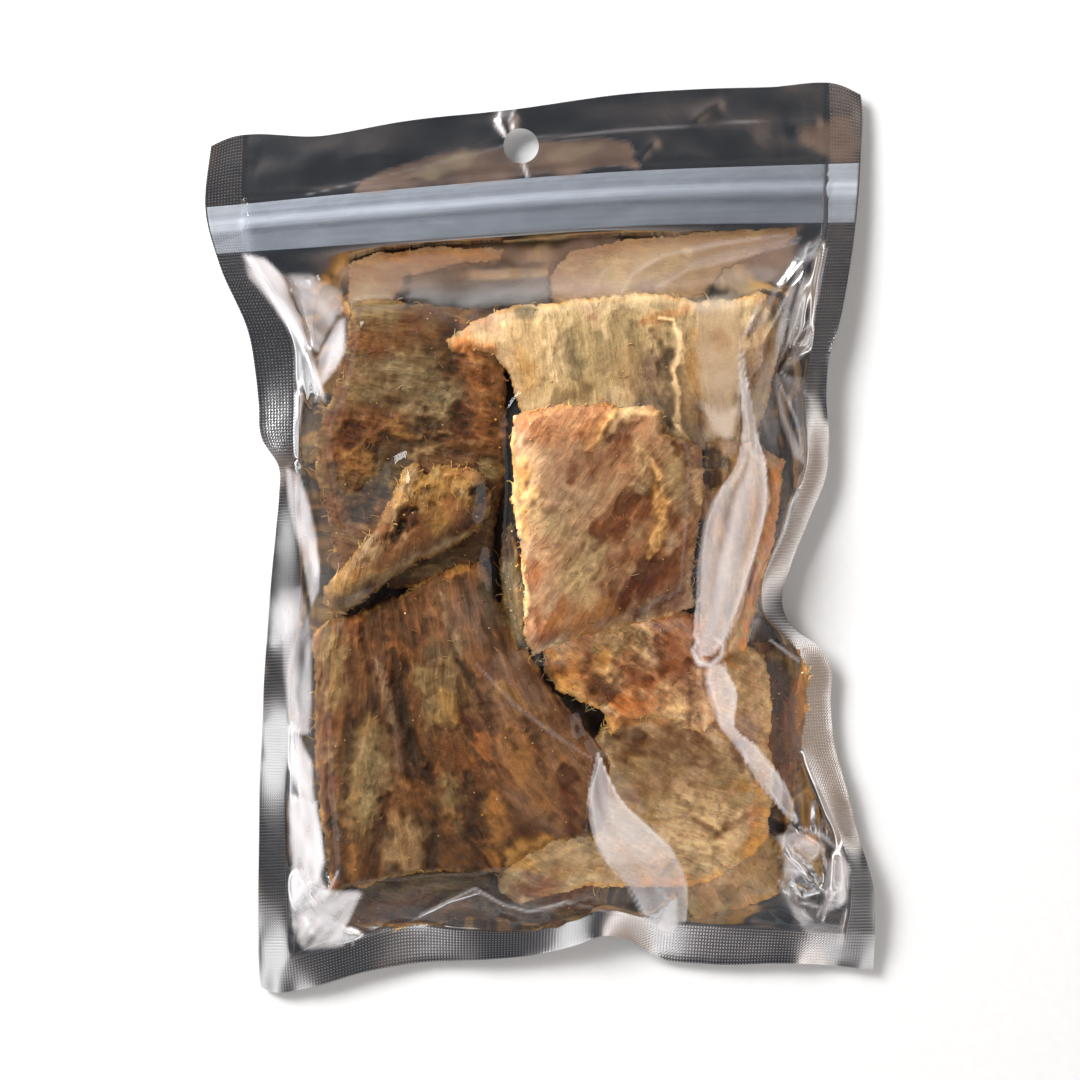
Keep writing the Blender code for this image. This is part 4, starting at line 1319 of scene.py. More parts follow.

# The pieces from the bottom up. Each has the height of its top in millimetres, the rise of that for each
# millimetre in x and y, its thickness, the way its fibres run in degrees from +Y, its outline and its marks.
# Its inks are its main colour, two more that marble it, and the one that marbles it darker and is laid into
# its hollows as painted shade; the third ink is also laid on its crests as painted light. A mark is a colour,
# its strength, how far it stands up, its half width in pixels and its line. Marks that stand down sink the
# relief, so the shade painted in hollows darkens them further.
PIECES = {
    # Its dark inks are painted shade: it lies under the pile so that the gaps between the pieces above are
    # dark.
    "under_layer": dict(
        top=9.0, thick=8.0, fibres=10, step=0.8, grain=1.2, gain=0.8, seed=100,
        inks=("dark_brown", "black_brown", "brown", "smoke"),
        outline=[
            (340, 300), (470, 308), (620, 300), (768, 302), (770, 430), (775, 600), (765, 760),
            (740, 870), (600, 885), (480, 870), (350, 880), (330, 760), (335, 620), (330, 480),
        ],
        marks=[
            ("amber", 0.9, 0.0, 12, [(345, 303), (400, 303), (470, 308)]),
            ("straw", 0.9, 0.0, 12, [(540, 304), (620, 300), (765, 302)]),
        ],
    ),
    "top_left_piece": dict(
        top=12.0, tilt=(0.0, -0.1), thick=1.5, fibres=80, grain=0.2, crumbly=0.05, torn=1, gain=0.58,
        seed=60, rim="tan",
        inks=("warm_brown", "brown", "tan", "brown"),
        outline=[
            (350, 318), (347, 262), (372, 250), (440, 245), (505, 246), (500, 258), (440, 266),
            (402, 276), (396, 318),
        ],
        marks=[
            ("amber", 0.8, 0.2, 7, [(390, 258), (440, 254), (500, 250)]),
            ("olive_tan", 0.8, 0.0, 12, [(366, 280), (366, 312)]),
        ],
    ),
    "top_right_piece": dict(
        top=12.0, tilt=(0.0, -0.1), thick=1.5, fibres=80, grain=0.15, crumbly=0.05, torn=1, gain=0.62,
        seed=80, rim="tan",
        inks=("tan", "pale", "pink_tan", "tan"),
        outline=[
            (566, 318), (550, 296), (552, 268), (572, 248), (620, 238), (680, 232), (740, 228),
            (800, 224), (802, 234), (760, 252), (724, 268), (706, 300), (640, 318),
        ],
        marks=[
            ("pale", 0.8, 0.3, 12, [(600, 262), (640, 252), (690, 250)]),
            ("grey_pink", 0.7, -0.3, 9, [(640, 285), (670, 278)]),
            ("amber", 0.6, 0.2, 5, [(560, 250), (620, 242), (700, 238)]),
        ],
    ),
    "bottom_left_piece": dict(
        top=9.5, tilt=(0.02, 0.05), thick=3.5, fibres=80, gain=1.0, seed=140,
        inks=("dark_brown", "brown", "olive", "rust"),
        outline=[
            (340, 880), (345, 926), (410, 930), (470, 922), (560, 930), (600, 925), (600, 870), (480, 860),
        ],
        marks=[
            ("red_brown", 0.8, 0.3, 6, [(370, 908), (410, 900), (450, 905)]),
            ("olive", 0.7, 0.3, 5, [(380, 893), (430, 890), (480, 886)]),
            ("grey_pink", 0.4, 0.2, 7, [(430, 915), (500, 912), (560, 905)]),
            ("rust", 0.7, 0.3, 7, [(545, 895), (580, 888)]),
        ],
    ),
    "bottom_right_piece": dict(
        top=9.5, tilt=(0.0, 0.03), thick=3.0, fibres=30, grain=0.3, crumbly=0.3, gain=1.15, seed=180,
        inks=("straw", "pale_flesh", "tan", "olive_tan"),
        outline=[(694, 921), (735, 912), (778, 896), (782, 866), (770, 835), (700, 840), (670, 880)],
        marks=[
            ("amber", 0.5, 0.2, 5, [(698, 920), (735, 910), (776, 894)]),
            ("amber", 0.5, 0.0, 7, [(700, 905), (715, 890)]),
            ("rust", 0.5, 0.0, 5, [(700, 922), (712, 914)]),
            ("pale", 0.5, 0.3, 7, [(735, 880), (765, 865)]),
        ],
    ),
    "corner_scrap": dict(
        top=8.5, thick=2.5, fibres=0, grain=0.3, crumbly=0.2, gain=1.1, seed=220,
        inks=("pink_tan", "straw", "tan", "amber"),
        outline=[(790, 838), (812, 832), (829, 846), (826, 878), (808, 892), (792, 880)],
        marks=[
            ("gold", 0.6, 0.2, 5, [(800, 850), (818, 870)]),
        ],
    ),
    "right_side_piece": dict(
        top=10.5, tilt=(-0.08, 0.0), thick=3.0, fibres=5, crumbly=0.6, gain=1.1, seed=260,
        inks=("brown", "olive", "warm_brown", "dark_brown"),
        outline=[(750, 640), (800, 650), (812, 672), (803, 740), (798, 800), (765, 812), (740, 760)],
        marks=[
            ("dark_brown", 0.8, -0.3, 8, [(770, 668), (800, 664)]),
            ("black_brown", 0.6, -0.3, 5, [(777, 690), (780, 740), (776, 790)]),
            ("warm_brown", 0.7, 0.3, 6, [(790, 700), (790, 760), (788, 795)]),
            ("olive_tan", 0.6, 0.3, 5, [(768, 655), (790, 660), (795, 675)]),
        ],
    ),
    "upper_left_piece": dict(
        top=17.0, tilt=(0.05, -0.02), thick=5.0, fibres=75, grain=0.9, torn=160, gain=0.46, seed=300,
        inks=("brown", "rust", "olive_tan", "dark_brown"),
        outline=[
            (349, 296), (344, 350), (339, 382), (322, 410), (313, 440), (315, 470), (322, 500),
            (329, 530), (331, 572), (350, 585), (420, 590), (490, 560), (505, 480), (508, 420),
            (504, 360), (488, 325), (440, 306), (400, 300),
        ],
        marks=[
            ("olive_tan", 0.95, 0.0, 22, [(350, 306), (400, 303), (440, 300)]),
            ("deep_red", 0.9, 0.2, 9, [(404, 322), (432, 314), (462, 320)]),
            ("orange", 0.7, 0.2, 5, [(420, 308), (455, 308), (474, 318)]),
            ("warm_brown", 0.8, 0.0, 14, [(348, 342), (400, 338), (444, 332)]),
            ("straw", 0.95, 0.3, 20, [(388, 372), (425, 386), (460, 396)]),
            ("grey_green", 0.6, 0.1, 8, [(400, 394), (444, 400)]),
            ("tan", 0.8, 0.2, 12, [(398, 410), (446, 418)]),
            ("olive_tan", 0.85, 0.0, 16, [(344, 382), (380, 392)]),
            ("dark_brown", 0.9, -0.4, 12, [(446, 336), (452, 362), (446, 390)]),
            ("rust", 0.97, 0.3, 17, [(332, 416), (375, 428), (404, 442)]),
            ("deep_red", 0.9, -0.3, 10, [(350, 424), (358, 450)]),
            ("amber", 0.85, 0.5, 8, [(384, 420), (408, 438), (440, 432)]),
            ("dark_brown", 0.9, -0.4, 11, [(414, 430), (445, 428), (468, 420)]),
            ("dark_brown", 0.97, -0.5, 9, [(366, 452), (405, 446), (446, 436)]),
            ("tan", 0.8, 0.6, 4, [(394, 464), (420, 452), (445, 443)]),
            ("amber", 0.85, 0.5, 13, [(346, 458), (372, 474)]),
            ("red_brown", 0.8, 0.2, 12, [(326, 460), (334, 500), (345, 550)]),
            ("black_brown", 0.97, -0.9, 19, [(400, 464), (378, 492), (356, 518)]),
            ("grey_pink", 0.8, 0.2, 10, [(348, 532), (372, 520)]),
            ("brown", 0.8, 0.2, 11, [(338, 540), (345, 575)]),
            ("rust", 0.97, 0.9, 14, [(466, 336), (478, 385), (480, 420), (472, 460)]),
            ("orange", 0.7, 0.3, 6, [(470, 350), (484, 400), (482, 440)]),
            ("warm_brown", 0.9, 0.1, 9, [(499, 380), (500, 450)]),
            ("deep_red", 0.8, -0.3, 8, [(458, 404), (466, 440), (478, 468)]),
            ("plum", 0.6, -0.5, 9, [(448, 452), (474, 464)]),
        ],
    ),
    "skin_piece": dict(
        top=18.0, tilt=(-0.02, -0.04), thick=4.0, fibres=5, grain=0.4, crumbly=0.3, gain=0.88, seed=400,
        inks=("straw", "pale_flesh", "cream", "grey_green"),
        outline=[
            (446, 338), (462, 322), (490, 312), (520, 302), (560, 301), (619, 293), (667, 291),
            (700, 300), (735, 298), (762, 288), (783, 298), (780, 350), (770, 400), (752, 447),
            (700, 450), (640, 440), (530, 430), (514, 396), (508, 372), (494, 356), (470, 352), (450, 354),
        ],
        marks=[
            ("cream", 0.97, 0.2, 44, [(702, 312), (724, 370), (714, 440)]),
            ("pale_flesh", 0.8, 0.1, 20, [(700, 330), (708, 380), (704, 420)]),
            ("orange", 0.95, 0.4, 9, [(450, 346), (470, 342), (492, 346)]),
            ("pale", 0.6, 0.3, 3, [(470, 338), (490, 336), (505, 342)]),
            ("pink_tan", 0.8, 0.2, 9, [(475, 322), (500, 312)]),
            ("pale", 0.9, 0.3, 18, [(528, 318), (534, 380)]),
            ("gold", 0.55, 0.0, 8, [(520, 350), (528, 392)]),
            ("grey_green", 0.9, -0.2, 9, [(572, 330), (576, 378)]),
            ("olive", 0.8, -0.3, 8, [(592, 388), (550, 408)]),
            ("cream", 0.7, 0.2, 7, [(556, 326), (556, 378)]),
            ("grey_green", 0.6, -0.2, 5, [(600, 330), (606, 372)]),
            ("rust", 0.8, 0.0, 4, [(590, 316), (597, 320)]),
            ("cream", 0.85, 0.4, 5, [(520, 304), (560, 303), (620, 295), (668, 294), (710, 303)]),
            ("orange", 0.6, 0.0, 4, [(640, 322), (660, 318), (690, 306)]),
            ("tan", 0.85, 0.3, 12, [(628, 346), (632, 400)]),
            ("grey_pink", 0.9, -0.5, 11, [(652, 350), (650, 400), (640, 420)]),
            ("dark_brown", 0.9, -0.6, 10, [(662, 345), (668, 375), (671, 400), (670, 425)]),
            ("deep_red", 0.5, -0.4, 4, [(650, 330), (662, 342)]),
            ("cream", 0.97, 1.1, 3.4, [(660, 318), (674, 320), (680, 345), (674, 372), (680, 396),
             (676, 424), (688, 440)]),
            ("gold", 0.8, 0.2, 8, [(694, 330), (692, 380), (696, 420)]),
            ("amber", 0.6, 0.0, 9, [(722, 330), (718, 370)]),
            ("orange", 0.75, 0.0, 11, [(706, 428), (738, 420)]),
            ("cream", 0.6, 0.3, 2.4, [(702, 430), (720, 405), (738, 386)]),
            ("amber", 0.85, 0.3, 9, [(758, 296), (775, 300)]),
            ("pink_tan", 0.8, 0.0, 13, [(765, 330), (757, 390)]),
        ],
    ),
    "ridged_piece": dict(
        top=18.0, tilt=(-0.16, 0.02), thick=4.5, fibres=12, grain=1.1, crumbly=0.2, gain=1.25, seed=500,
        inks=("pale_flesh", "pale", "gold", "warm_brown"),
        outline=[
            (704, 442), (725, 437), (750, 440), (787, 458), (782, 500), (774, 545), (762, 590),
            (746, 650), (720, 664), (700, 655), (700, 560),
        ],
        marks=[
            ("smoke", 0.9, -1.0, 9, [(713, 450), (712, 485)]),
            ("orange", 0.95, 0.3, 7, [(783, 462), (776, 520), (765, 570), (750, 625), (742, 648)]),
            ("tan", 0.7, 0.5, 3, [(735, 445), (736, 500), (725, 580), (716, 650)]),
            ("rust", 0.5, -0.4, 3, [(745, 450), (742, 520), (730, 600), (724, 650)]),
            ("pale", 0.6, 0.5, 3, [(757, 455), (752, 520), (740, 590), (730, 650)]),
            ("rust", 0.6, -0.4, 3, [(768, 470), (760, 530), (748, 590)]),
            ("gold", 0.5, 0.3, 3, [(724, 470), (716, 540), (708, 620)]),
        ],
    ),
    "lower_right_piece": dict(
        top=15.5, tilt=(-0.03, 0.03), thick=4.0, fibres=65, grain=0.3, crumbly=0.5, gain=1.45, seed=600,
        inks=("straw", "pale", "cream", "gold"),
        outline=[
            (690, 655), (735, 640), (765, 655), (770, 680), (772, 734), (774, 780), (770, 838),
            (752, 857), (714, 881), (690, 889), (634, 889), (590, 886), (545, 900), (520, 908),
            (500, 895), (495, 860), (560, 790), (600, 730), (650, 700),
        ],
        marks=[
            ("red_brown", 0.95, -0.3, 24, [(615, 738), (680, 750), (722, 772)]),
            ("olive_tan", 0.85, 0.3, 12, [(636, 760), (684, 768)]),
            ("dark_brown", 0.8, -0.5, 10, [(606, 745), (644, 736)]),
            ("rust", 0.85, 0.0, 10, [(630, 796), (690, 784), (730, 796)]),
            ("cream", 0.95, 0.4, 26, [(656, 826), (700, 812), (732, 840)]),
            ("cream", 0.9, 0.4, 18, [(640, 846), (690, 848), (726, 838)]),
            ("pale", 0.9, 0.3, 18, [(566, 866), (620, 864), (684, 868)]),
            ("olive_tan", 0.8, 0.1, 12, [(536, 866), (566, 850), (592, 840)]),
            ("brown", 0.6, -0.2, 2.4, [(650, 820), (690, 816), (718, 834)]),
            ("red_brown", 0.8, -0.3, 4, [(714, 838), (730, 826), (748, 815)]),
            ("olive", 0.5, -0.2, 2.4, [(718, 832), (705, 850), (722, 866)]),
            ("olive", 0.5, -0.2, 2.4, [(672, 838), (676, 862), (658, 880)]),
            ("pale_flesh", 0.95, 0.3, 13, [(756, 660), (762, 700), (762, 770)]),
            ("gold", 0.9, 0.3, 8, [(762, 780), (766, 820), (748, 856)]),
            ("orange", 0.7, 0.3, 7, [(756, 806), (750, 828)]),
            ("rust", 0.8, -0.3, 10, [(744, 710), (750, 764)]),
            ("deep_red", 0.6, -0.3, 5, [(736, 740), (742, 772)]),
            ("pale", 0.97, 0.3, 5, [(771, 680), (773, 740), (773, 785)]),
            ("deep_red", 0.85, 0.0, 10, [(520, 896), (545, 884)]),
            ("rust", 0.85, 0.0, 10, [(508, 900), (562, 884)]),
            ("gold", 0.9, 0.4, 6, [(594, 886), (640, 886), (690, 886), (722, 876)]),
        ],
    ),
    "torn_piece": dict(
        top=20.0, tilt=(-0.04, 0.05), thick=4.0, fibres=55.0, grain=0.8, crumbly=0.9, fray=0.7, torn=200,
        gain=1.75, seed=700,
        inks=("flesh", "pale", "cream", "rust"),
        outline=[
            (546, 640), (543, 665), (556, 688), (575, 703), (590, 706), (604, 716), (610, 739),
            (624, 722), (650, 716), (672, 726), (690, 731), (706, 734), (716, 722), (722, 690),
            (718, 650), (700, 610), (600, 615),
        ],
        marks=[
            ("olive_tan", 0.9, 0.0, 17, [(596, 646), (644, 640)]),
            ("amber", 0.9, 0.4, 10, [(570, 656), (582, 692)]),
            ("red_brown", 0.8, -0.4, 7, [(588, 652), (594, 694)]),
            ("gold", 0.8, 0.5, 7, [(604, 650), (610, 680)]),
            ("gold", 0.95, 0.5, 7, [(547, 650), (558, 682), (574, 698), (596, 706)]),
            ("dark_brown", 0.97, -0.5, 11, [(600, 680), (616, 698)]),
            ("plum", 0.9, -0.5, 8, [(622, 686), (652, 678)]),
            ("rust", 0.85, -0.2, 11, [(628, 656), (640, 704)]),
            ("orange", 0.9, 0.6, 9, [(616, 706), (650, 702), (668, 708)]),
            ("pale", 0.97, 0.5, 12, [(668, 690), (686, 708)]),
            ("deep_red", 0.95, -0.5, 6, [(689, 660), (691, 700), (689, 728)]),
            ("pale_flesh", 0.97, 0.5, 11, [(704, 660), (704, 705), (706, 732)]),
            ("deep_red", 0.8, -0.4, 6, [(657, 636), (662, 674)]),
            ("rust", 0.8, 0.2, 8, [(670, 636), (676, 670), (668, 694)]),
            ("gold", 0.8, 0.5, 8, [(616, 718), (611, 737)]),
        ],
    ),
    "big_piece": dict(
        top=19.0, tilt=(0.045, 0.02), thick=5.5, fibres=8, fan=0.016, grain=1.2, crumbly=0.6, torn=180,
        gain=0.74, seed=800,
        inks=("brown", "red_brown", "warm_brown", "dark_brown"),
        outline=[
            (312, 636), (326, 622), (370, 608), (404, 594), (436, 572), (468, 562), (482, 558),
            (492, 590), (515, 630), (545, 680), (580, 722), (602, 748), (612, 770), (608, 800),
            (604, 832), (585, 840), (555, 842), (530, 856), (500, 874), (460, 873), (421, 876),
            (390, 882), (365, 888), (345, 890), (328, 899), (324, 870), (318, 814), (314, 734),
        ],
        marks=[
            ("flesh", 0.8, 0.1, 40, [(500, 690), (540, 760), (560, 820)]),
            ("flesh", 0.6, 0.1, 20, [(436, 590), (452, 640), (470, 670)]),
            ("olive_tan", 0.97, 0.3, 17, [(332, 634), (333, 672), (331, 712)]),
            ("red_brown", 0.95, -0.1, 10, [(358, 630), (358, 680), (352, 724)]),
            ("deep_red", 0.95, -0.3, 13, [(330, 720), (331, 780), (333, 828)]),
            ("dark_brown", 0.95, -0.4, 12, [(333, 824), (336, 860), (340, 892)]),
            ("olive_tan", 0.98, 0.8, 20, [(369, 716), (364, 773), (362, 832)]),
            ("straw", 0.7, 0.3, 9, [(370, 736), (362, 780), (362, 812)]),
            ("dark_brown", 0.8, -0.4, 4, [(350, 706), (347, 745), (344, 800)]),
            ("deep_red", 0.9, -0.4, 7, [(388, 796), (380, 835), (374, 876)]),
            ("amber", 0.9, 0.4, 6, [(352, 846), (356, 872), (358, 890)]),
            ("orange", 0.8, 0.2, 7, [(328, 880), (327, 899)]),
            ("tan", 0.95, 0.5, 19, [(396, 820), (406, 848), (412, 876)]),
            ("grey_pink", 0.85, 0.5, 7, [(375, 650), (382, 680), (389, 703), (398, 728), (399, 770)]),
            ("pale", 0.6, 0.5, 3, [(376, 660), (386, 698), (396, 734)]),
            ("dark_brown", 0.9, -0.6, 9, [(392, 650), (402, 708), (407, 740), (418, 785)]),
            ("black_brown", 0.6, -0.3, 5, [(392, 680), (402, 712), (408, 745), (416, 770)]),
            ("dark_brown", 0.85, -0.4, 20, [(370, 634), (400, 618), (414, 646)]),
            ("dark_brown", 0.85, -0.4, 14, [(412, 736), (424, 775)]),
            ("amber", 0.85, 0.5, 6, [(446, 576), (468, 568), (486, 577)]),
            ("pale", 0.6, 0.5, 3, [(441, 594), (447, 620), (457, 640), (462, 660)]),
            ("grey_pink", 0.9, 0.0, 18, [(466, 592), (482, 642)]),
            ("grey_green", 0.8, -0.3, 10, [(484, 586), (494, 628)]),
            ("grey_green", 0.8, 0.1, 7, [(424, 652), (450, 652)]),
            ("olive_tan", 0.95, 0.5, 18, [(418, 672), (446, 700), (464, 724)]),
            ("gold", 0.75, 0.4, 9, [(442, 690), (456, 722)]),
            ("dark_brown", 0.9, -0.5, 5, [(458, 660), (474, 682), (487, 704), (493, 740)]),
            ("deep_red", 0.9, -0.4, 10, [(462, 708), (476, 738)]),
            ("orange", 0.8, 0.6, 8, [(476, 734), (488, 758)]),
            ("rust", 0.8, 0.3, 14, [(446, 748), (474, 772)]),
            ("dark_brown", 0.9, -0.6, 8, [(430, 766), (435, 813), (433, 847), (430, 878)]),
            ("black_brown", 0.6, -0.3, 4, [(434, 780), (435, 813), (432, 860)]),
            ("olive_tan", 0.9, 0.5, 12, [(443, 776), (452, 805), (460, 834)]),
            ("dark_brown", 0.95, -0.5, 16, [(468, 780), (474, 825), (476, 870)]),
            ("amber", 0.95, 0.5, 10, [(493, 794), (498, 835), (495, 866)]),
            ("pink_tan", 0.8, 0.0, 20, [(500, 656), (534, 706)]),
            ("gold", 0.7, 0.4, 7, [(496, 684), (520, 705), (546, 728)]),
            ("amber", 0.8, 0.4, 16, [(508, 734), (530, 770), (550, 810)]),
            ("grey_pink", 0.6, 0.2, 6, [(508, 790), (535, 812), (560, 836)]),
            ("deep_red", 0.9, -0.4, 8, [(564, 768), (572, 812), (574, 842)]),
            ("red_brown", 0.8, -0.3, 7, [(524, 712), (540, 745), (546, 778)]),
            ("gold", 0.97, 0.6, 9, [(508, 864), (532, 848), (552, 838)]),
            ("warm_brown", 0.8, 0.2, 10, [(588, 738), (600, 775), (598, 812)]),
            ("pale", 0.9, 0.4, 4, [(356, 888), (400, 880), (444, 875)]),
        ],
    ),
    "long_strip": dict(
        top=22.0, tilt=(0.06, 0.0), thick=4.5, fibres=-25, torn=160, gain=0.5, seed=900,
        inks=("warm_brown", "gold", "pale", "deep_red"),
        outline=[
            (318, 604), (330, 613), (343, 616), (366, 599), (397, 574), (440, 553), (470, 537),
            (488, 515), (491, 490), (482, 471), (455, 467), (436, 462), (425, 476), (419, 460),
            (406, 464), (396, 490), (384, 512), (375, 528), (355, 548), (335, 572), (322, 588),
        ],
        marks=[
            ("pale", 0.95, 0.3, 7, [(380, 583), (410, 566), (445, 549), (465, 534)]),
            ("cream", 0.7, 0.3, 4, [(412, 562), (440, 547), (456, 538)]),
            ("tan", 0.8, 0.2, 10, [(328, 602), (345, 596)]),
            ("pale", 0.7, 0.3, 4, [(322, 590), (335, 574)]),
            ("warm_brown", 0.8, 0.0, 10, [(350, 575), (372, 560)]),
            ("deep_red", 0.95, -1.3, 6, [(386, 550), (400, 532), (416, 510)]),
            ("plum", 0.7, -0.8, 4, [(392, 540), (405, 522)]),
            ("rust", 0.8, -0.3, 6, [(372, 545), (390, 525)]),
            ("gold", 0.8, 0.7, 7, [(380, 518), (396, 498), (408, 476)]),
            ("olive_tan", 0.8, 0.3, 6, [(430, 470), (438, 476)]),
            ("brown", 0.8, -0.4, 8, [(424, 490), (432, 505)]),
            ("orange", 0.9, 0.5, 6, [(448, 474), (468, 472), (482, 480)]),
            ("black_brown", 0.97, -1.9, 8, [(472, 490), (482, 500)]),
            ("cream", 0.6, 0.4, 3, [(455, 484), (462, 492)]),
            ("orange", 0.85, 0.3, 10, [(448, 500), (456, 520)]),
            ("deep_red", 0.8, -0.2, 6, [(470, 522), (480, 514)]),
            ("red_brown", 0.6, -0.2, 5, [(430, 520), (415, 535)]),
        ],
    ),
    "centre_skin": dict(
        top=21.0, tilt=(0.1, 0.0), thick=2.5, fibres=5, grain=0.3, crumbly=0.3, gain=0.8, seed=950,
        inks=("smoke", "grey_green", "olive", "dark_brown"),
        outline=[
            (512, 520), (522, 560), (530, 600), (534, 650), (516, 652), (504, 620), (498, 580), (500, 540),
        ],
        marks=[
            ("tan", 0.7, 0.3, 1.6, [(516, 550), (516, 590), (522, 625)]),
            ("grey_green", 0.6, 0.3, 4, [(506, 600), (514, 640)]),
            ("cream", 0.5, 0.3, 1.4, [(502, 548), (502, 575), (500, 590)]),
        ],
    ),
    "centre_piece": dict(
        top=25.2, tilt=(-0.04, 0.01), thick=5.0, fibres=-38, grain=0.6, crumbly=0.65, torn=200, gain=0.95,
        seed=1000,
        inks=("peach", "pale_flesh", "pale", "orange"),
        outline=[
            (511, 414), (530, 408), (575, 404), (600, 402), (625, 406), (650, 404), (662, 410),
            (664, 432), (690, 440), (704, 446), (706, 470), (702, 510), (697, 545), (690, 580),
            (695, 606), (672, 618), (640, 624), (600, 634), (565, 645), (532, 656), (524, 630),
            (523, 590), (518, 545), (513, 500), (511, 450),
        ],
        marks=[
            ("pale_flesh", 0.9, 0.2, 30, [(535, 470), (556, 510), (584, 560), (580, 600)]),
            ("pale_flesh", 0.85, 0.2, 16, [(570, 446), (596, 480)]),
            ("peach", 0.9, 0.1, 15, [(520, 424), (560, 416), (596, 412)]),
            ("rust", 0.7, -0.2, 9, [(524, 442), (548, 430)]),
            ("straw", 0.8, 0.3, 11, [(534, 496), (548, 520), (566, 540)]),
            ("pink_tan", 0.8, 0.1, 11, [(544, 510), (562, 480), (558, 458)]),
            ("pale", 0.97, 0.5, 9, [(608, 414), (636, 411), (658, 414)]),
            ("gold", 0.85, 0.4, 9, [(522, 456), (523, 500), (526, 536)]),
            ("rust", 0.97, -0.3, 10, [(572, 482), (602, 458), (630, 436)]),
            ("plum", 0.97, -0.5, 9, [(606, 440), (624, 429), (640, 422)]),
            ("gold", 0.9, 0.8, 4, [(586, 450), (598, 440), (603, 425), (614, 412)]),
            ("rust", 0.97, -0.3, 13, [(596, 530), (630, 502), (660, 480)]),
            ("plum", 0.97, -0.5, 8, [(618, 512), (638, 497), (658, 484)]),
            ("rust", 0.97, -0.3, 15, [(570, 566), (610, 536), (648, 510)]),
            ("deep_red", 0.9, -0.3, 6, [(584, 550), (606, 534), (626, 522)]),
            ("straw", 0.95, 0.4, 10, [(604, 548), (580, 566), (564, 588)]),
            ("pale", 0.9, 0.3, 14, [(566, 588), (594, 588), (604, 606)]),
            ("rust", 0.97, -0.2, 20, [(606, 610), (640, 586), (680, 556)]),
            ("deep_red", 0.97, -0.4, 12, [(618, 604), (644, 584), (672, 562)]),
            ("plum", 0.95, -0.5, 7, [(636, 582), (652, 568), (664, 560)]),
            ("rust", 0.9, 0.1, 11, [(533, 560), (536, 600), (540, 634)]),
            ("amber", 0.85, 0.2, 9, [(552, 624), (585, 616), (616, 614)]),
            ("pale", 0.8, 0.3, 9, [(636, 440), (644, 470), (640, 490)]),
            ("gold", 0.95, 0.9, 5, [(652, 458), (662, 490), (660, 520), (650, 556)]),
            ("rust", 0.9, 0.0, 9, [(670, 512), (682, 532), (688, 552)]),
            ("rust", 0.85, 0.0, 7, [(676, 552), (680, 580), (676, 606)]),
            ("straw", 0.9, 0.3, 9, [(668, 446), (680, 476), (690, 515)]),
            ("cream", 0.9, 0.6, 4, [(692, 450), (696, 480), (702, 505)]),
            ("rust", 0.9, -0.3, 7, [(676, 444), (690, 452), (702, 464)]),
            ("pale", 0.97, 0.7, 3, [(512, 412), (512, 460), (513, 505), (518, 545), (524, 585),
             (525, 615)]),
            ("pale", 0.97, 0.5, 4, [(534, 652), (570, 645), (604, 635), (636, 626), (672, 614)]),
        ],
    ),
}


# Set-up of the picture


def make_lights():
    """A soft key and fill that only light, and the bright panes that film and foil reflect."""
    for name, place, size, watts, reflected in (
        ("key", (-0.46, 0.44, 0.64), (0.42, 0.42), 15.2, False),
        ("sparkle", (-0.45, 0.43, 0.70), (0.14, 0.14), 0.8, True),
        ("front_fill", (0.35, -0.45, 0.70), (0.6, 0.6), 2.0, False),
        ("window", (0.33, -0.08, 0.50), (0.70, 0.10), 0.36, True),
        ("left_pane", (-0.55, -0.05, 0.60), (0.80, 0.26), 0.75, True),
        ("front_pane", (0.05, -0.64, 0.58), (0.70, 0.17), 0.37, True),
    ):
        data = bpy.data.lights.new(name, "AREA")
        data.shape = "RECTANGLE"
        data.size, data.size_y = size
        data.energy = watts
        lamp = bpy.data.objects.new(name, data)
        lamp.location = place
        lamp.rotation_euler = (-Vector(place)).to_track_quat("-Z", "Y").to_euler()
        lamp.visible_glossy = reflected
        bpy.context.scene.collection.objects.link(lamp)


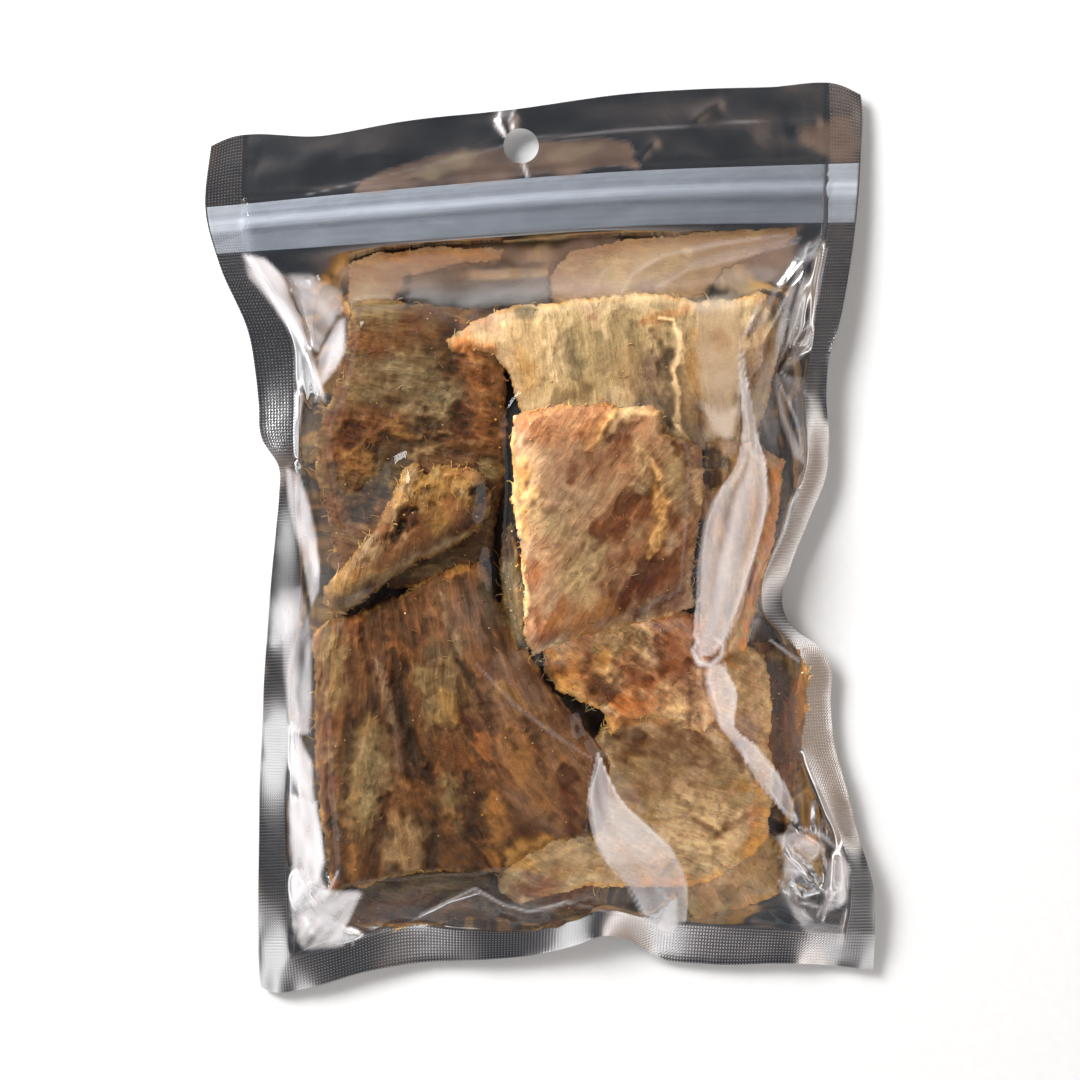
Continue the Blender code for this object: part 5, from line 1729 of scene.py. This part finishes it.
# What the film and foil reflect, from straight below the table to straight above it
ROOM_TONES = (
    (0.0, (0.95, 0.95, 0.95)),
    (0.35, (0.80, 0.80, 0.80)),
    (0.62, (0.34, 0.34, 0.35)),
    (0.86, (0.135, 0.110, 0.105)),
    (0.95, (0.050, 0.054, 0.061)),
    (1.0, (0.036, 0.040, 0.047)),
)


def make_room():
    """A room that is pale low down, dark overhead and brownish to the right."""
    world = bpy.data.worlds.new("room")
    graph = Graph(world, "World")
    way = graph.node("TexCoord")["Generated"]
    right, up = graph.axis(way, "X"), graph.axis(way, "Z")
    brown = right.above(0.15, 0.45) * up.above(0.25, 0.5, "LINEAR")
    colour = graph.mix(brown, graph.ramp(up, ROOM_TONES), (0.34, 0.25, 0.19, 1.0))
    graph.finish(graph.node("Background", None, Color=colour)["Background"])
    bpy.context.scene.world = world


def make_camera():
    """Straight down, turned as the photograph is."""
    data = bpy.data.cameras.new("camera")
    data.sensor_width = SENSOR
    data.lens = SENSOR * CAMERA_RISE / (PICTURE * MM_PER_PIXEL)
    camera = bpy.data.objects.new("camera", data)
    camera.location = (LOOK_AT[0] * MM, LOOK_AT[1] * MM, (CAMERA_RISE + SHARP_HEIGHT) * MM)
    camera.rotation_euler = (0, 0, -TURN)
    bpy.context.scene.collection.objects.link(camera)
    bpy.context.scene.camera = camera


def make_floor():
    """The pale table."""
    bm = bmesh.new()
    bmesh.ops.create_grid(bm, x_segments=1, y_segments=1, size=2500.0)
    floor = shown("floor", bm, pale_floor())


def main():
    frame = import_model()
    pouch = frame["nodes"]["pouch"]
    tree = BVHTree.FromObject(pouch, bpy.context.evaluated_depsgraph_get())
    front, back = HeightMap(tree, True), HeightMap(tree, False)

    film = make_film(front, back)
    foil = make_foil(front, back)
    zip_band = make_zip(front, back)
    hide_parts("pouch")
    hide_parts("pouch")
    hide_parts("zip_strip")
    flesh = fish_flesh()
    fish = [FishPiece(name, front) for name in PIECES]
    pieces = [piece.make(flesh) for piece in fish]
    pieces += [loose_fibres(fish, front, flesh), loose_crumbs(fish, flesh)]
    for piece in pieces:
        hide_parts("pouch")
    for thing in [film, foil, zip_band, *pieces]:
        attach(thing, "root")

    make_floor()
    make_lights()
    make_room()
    make_camera()
    bpy.context.scene.view_settings.view_transform = "Standard"
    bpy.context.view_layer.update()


main()
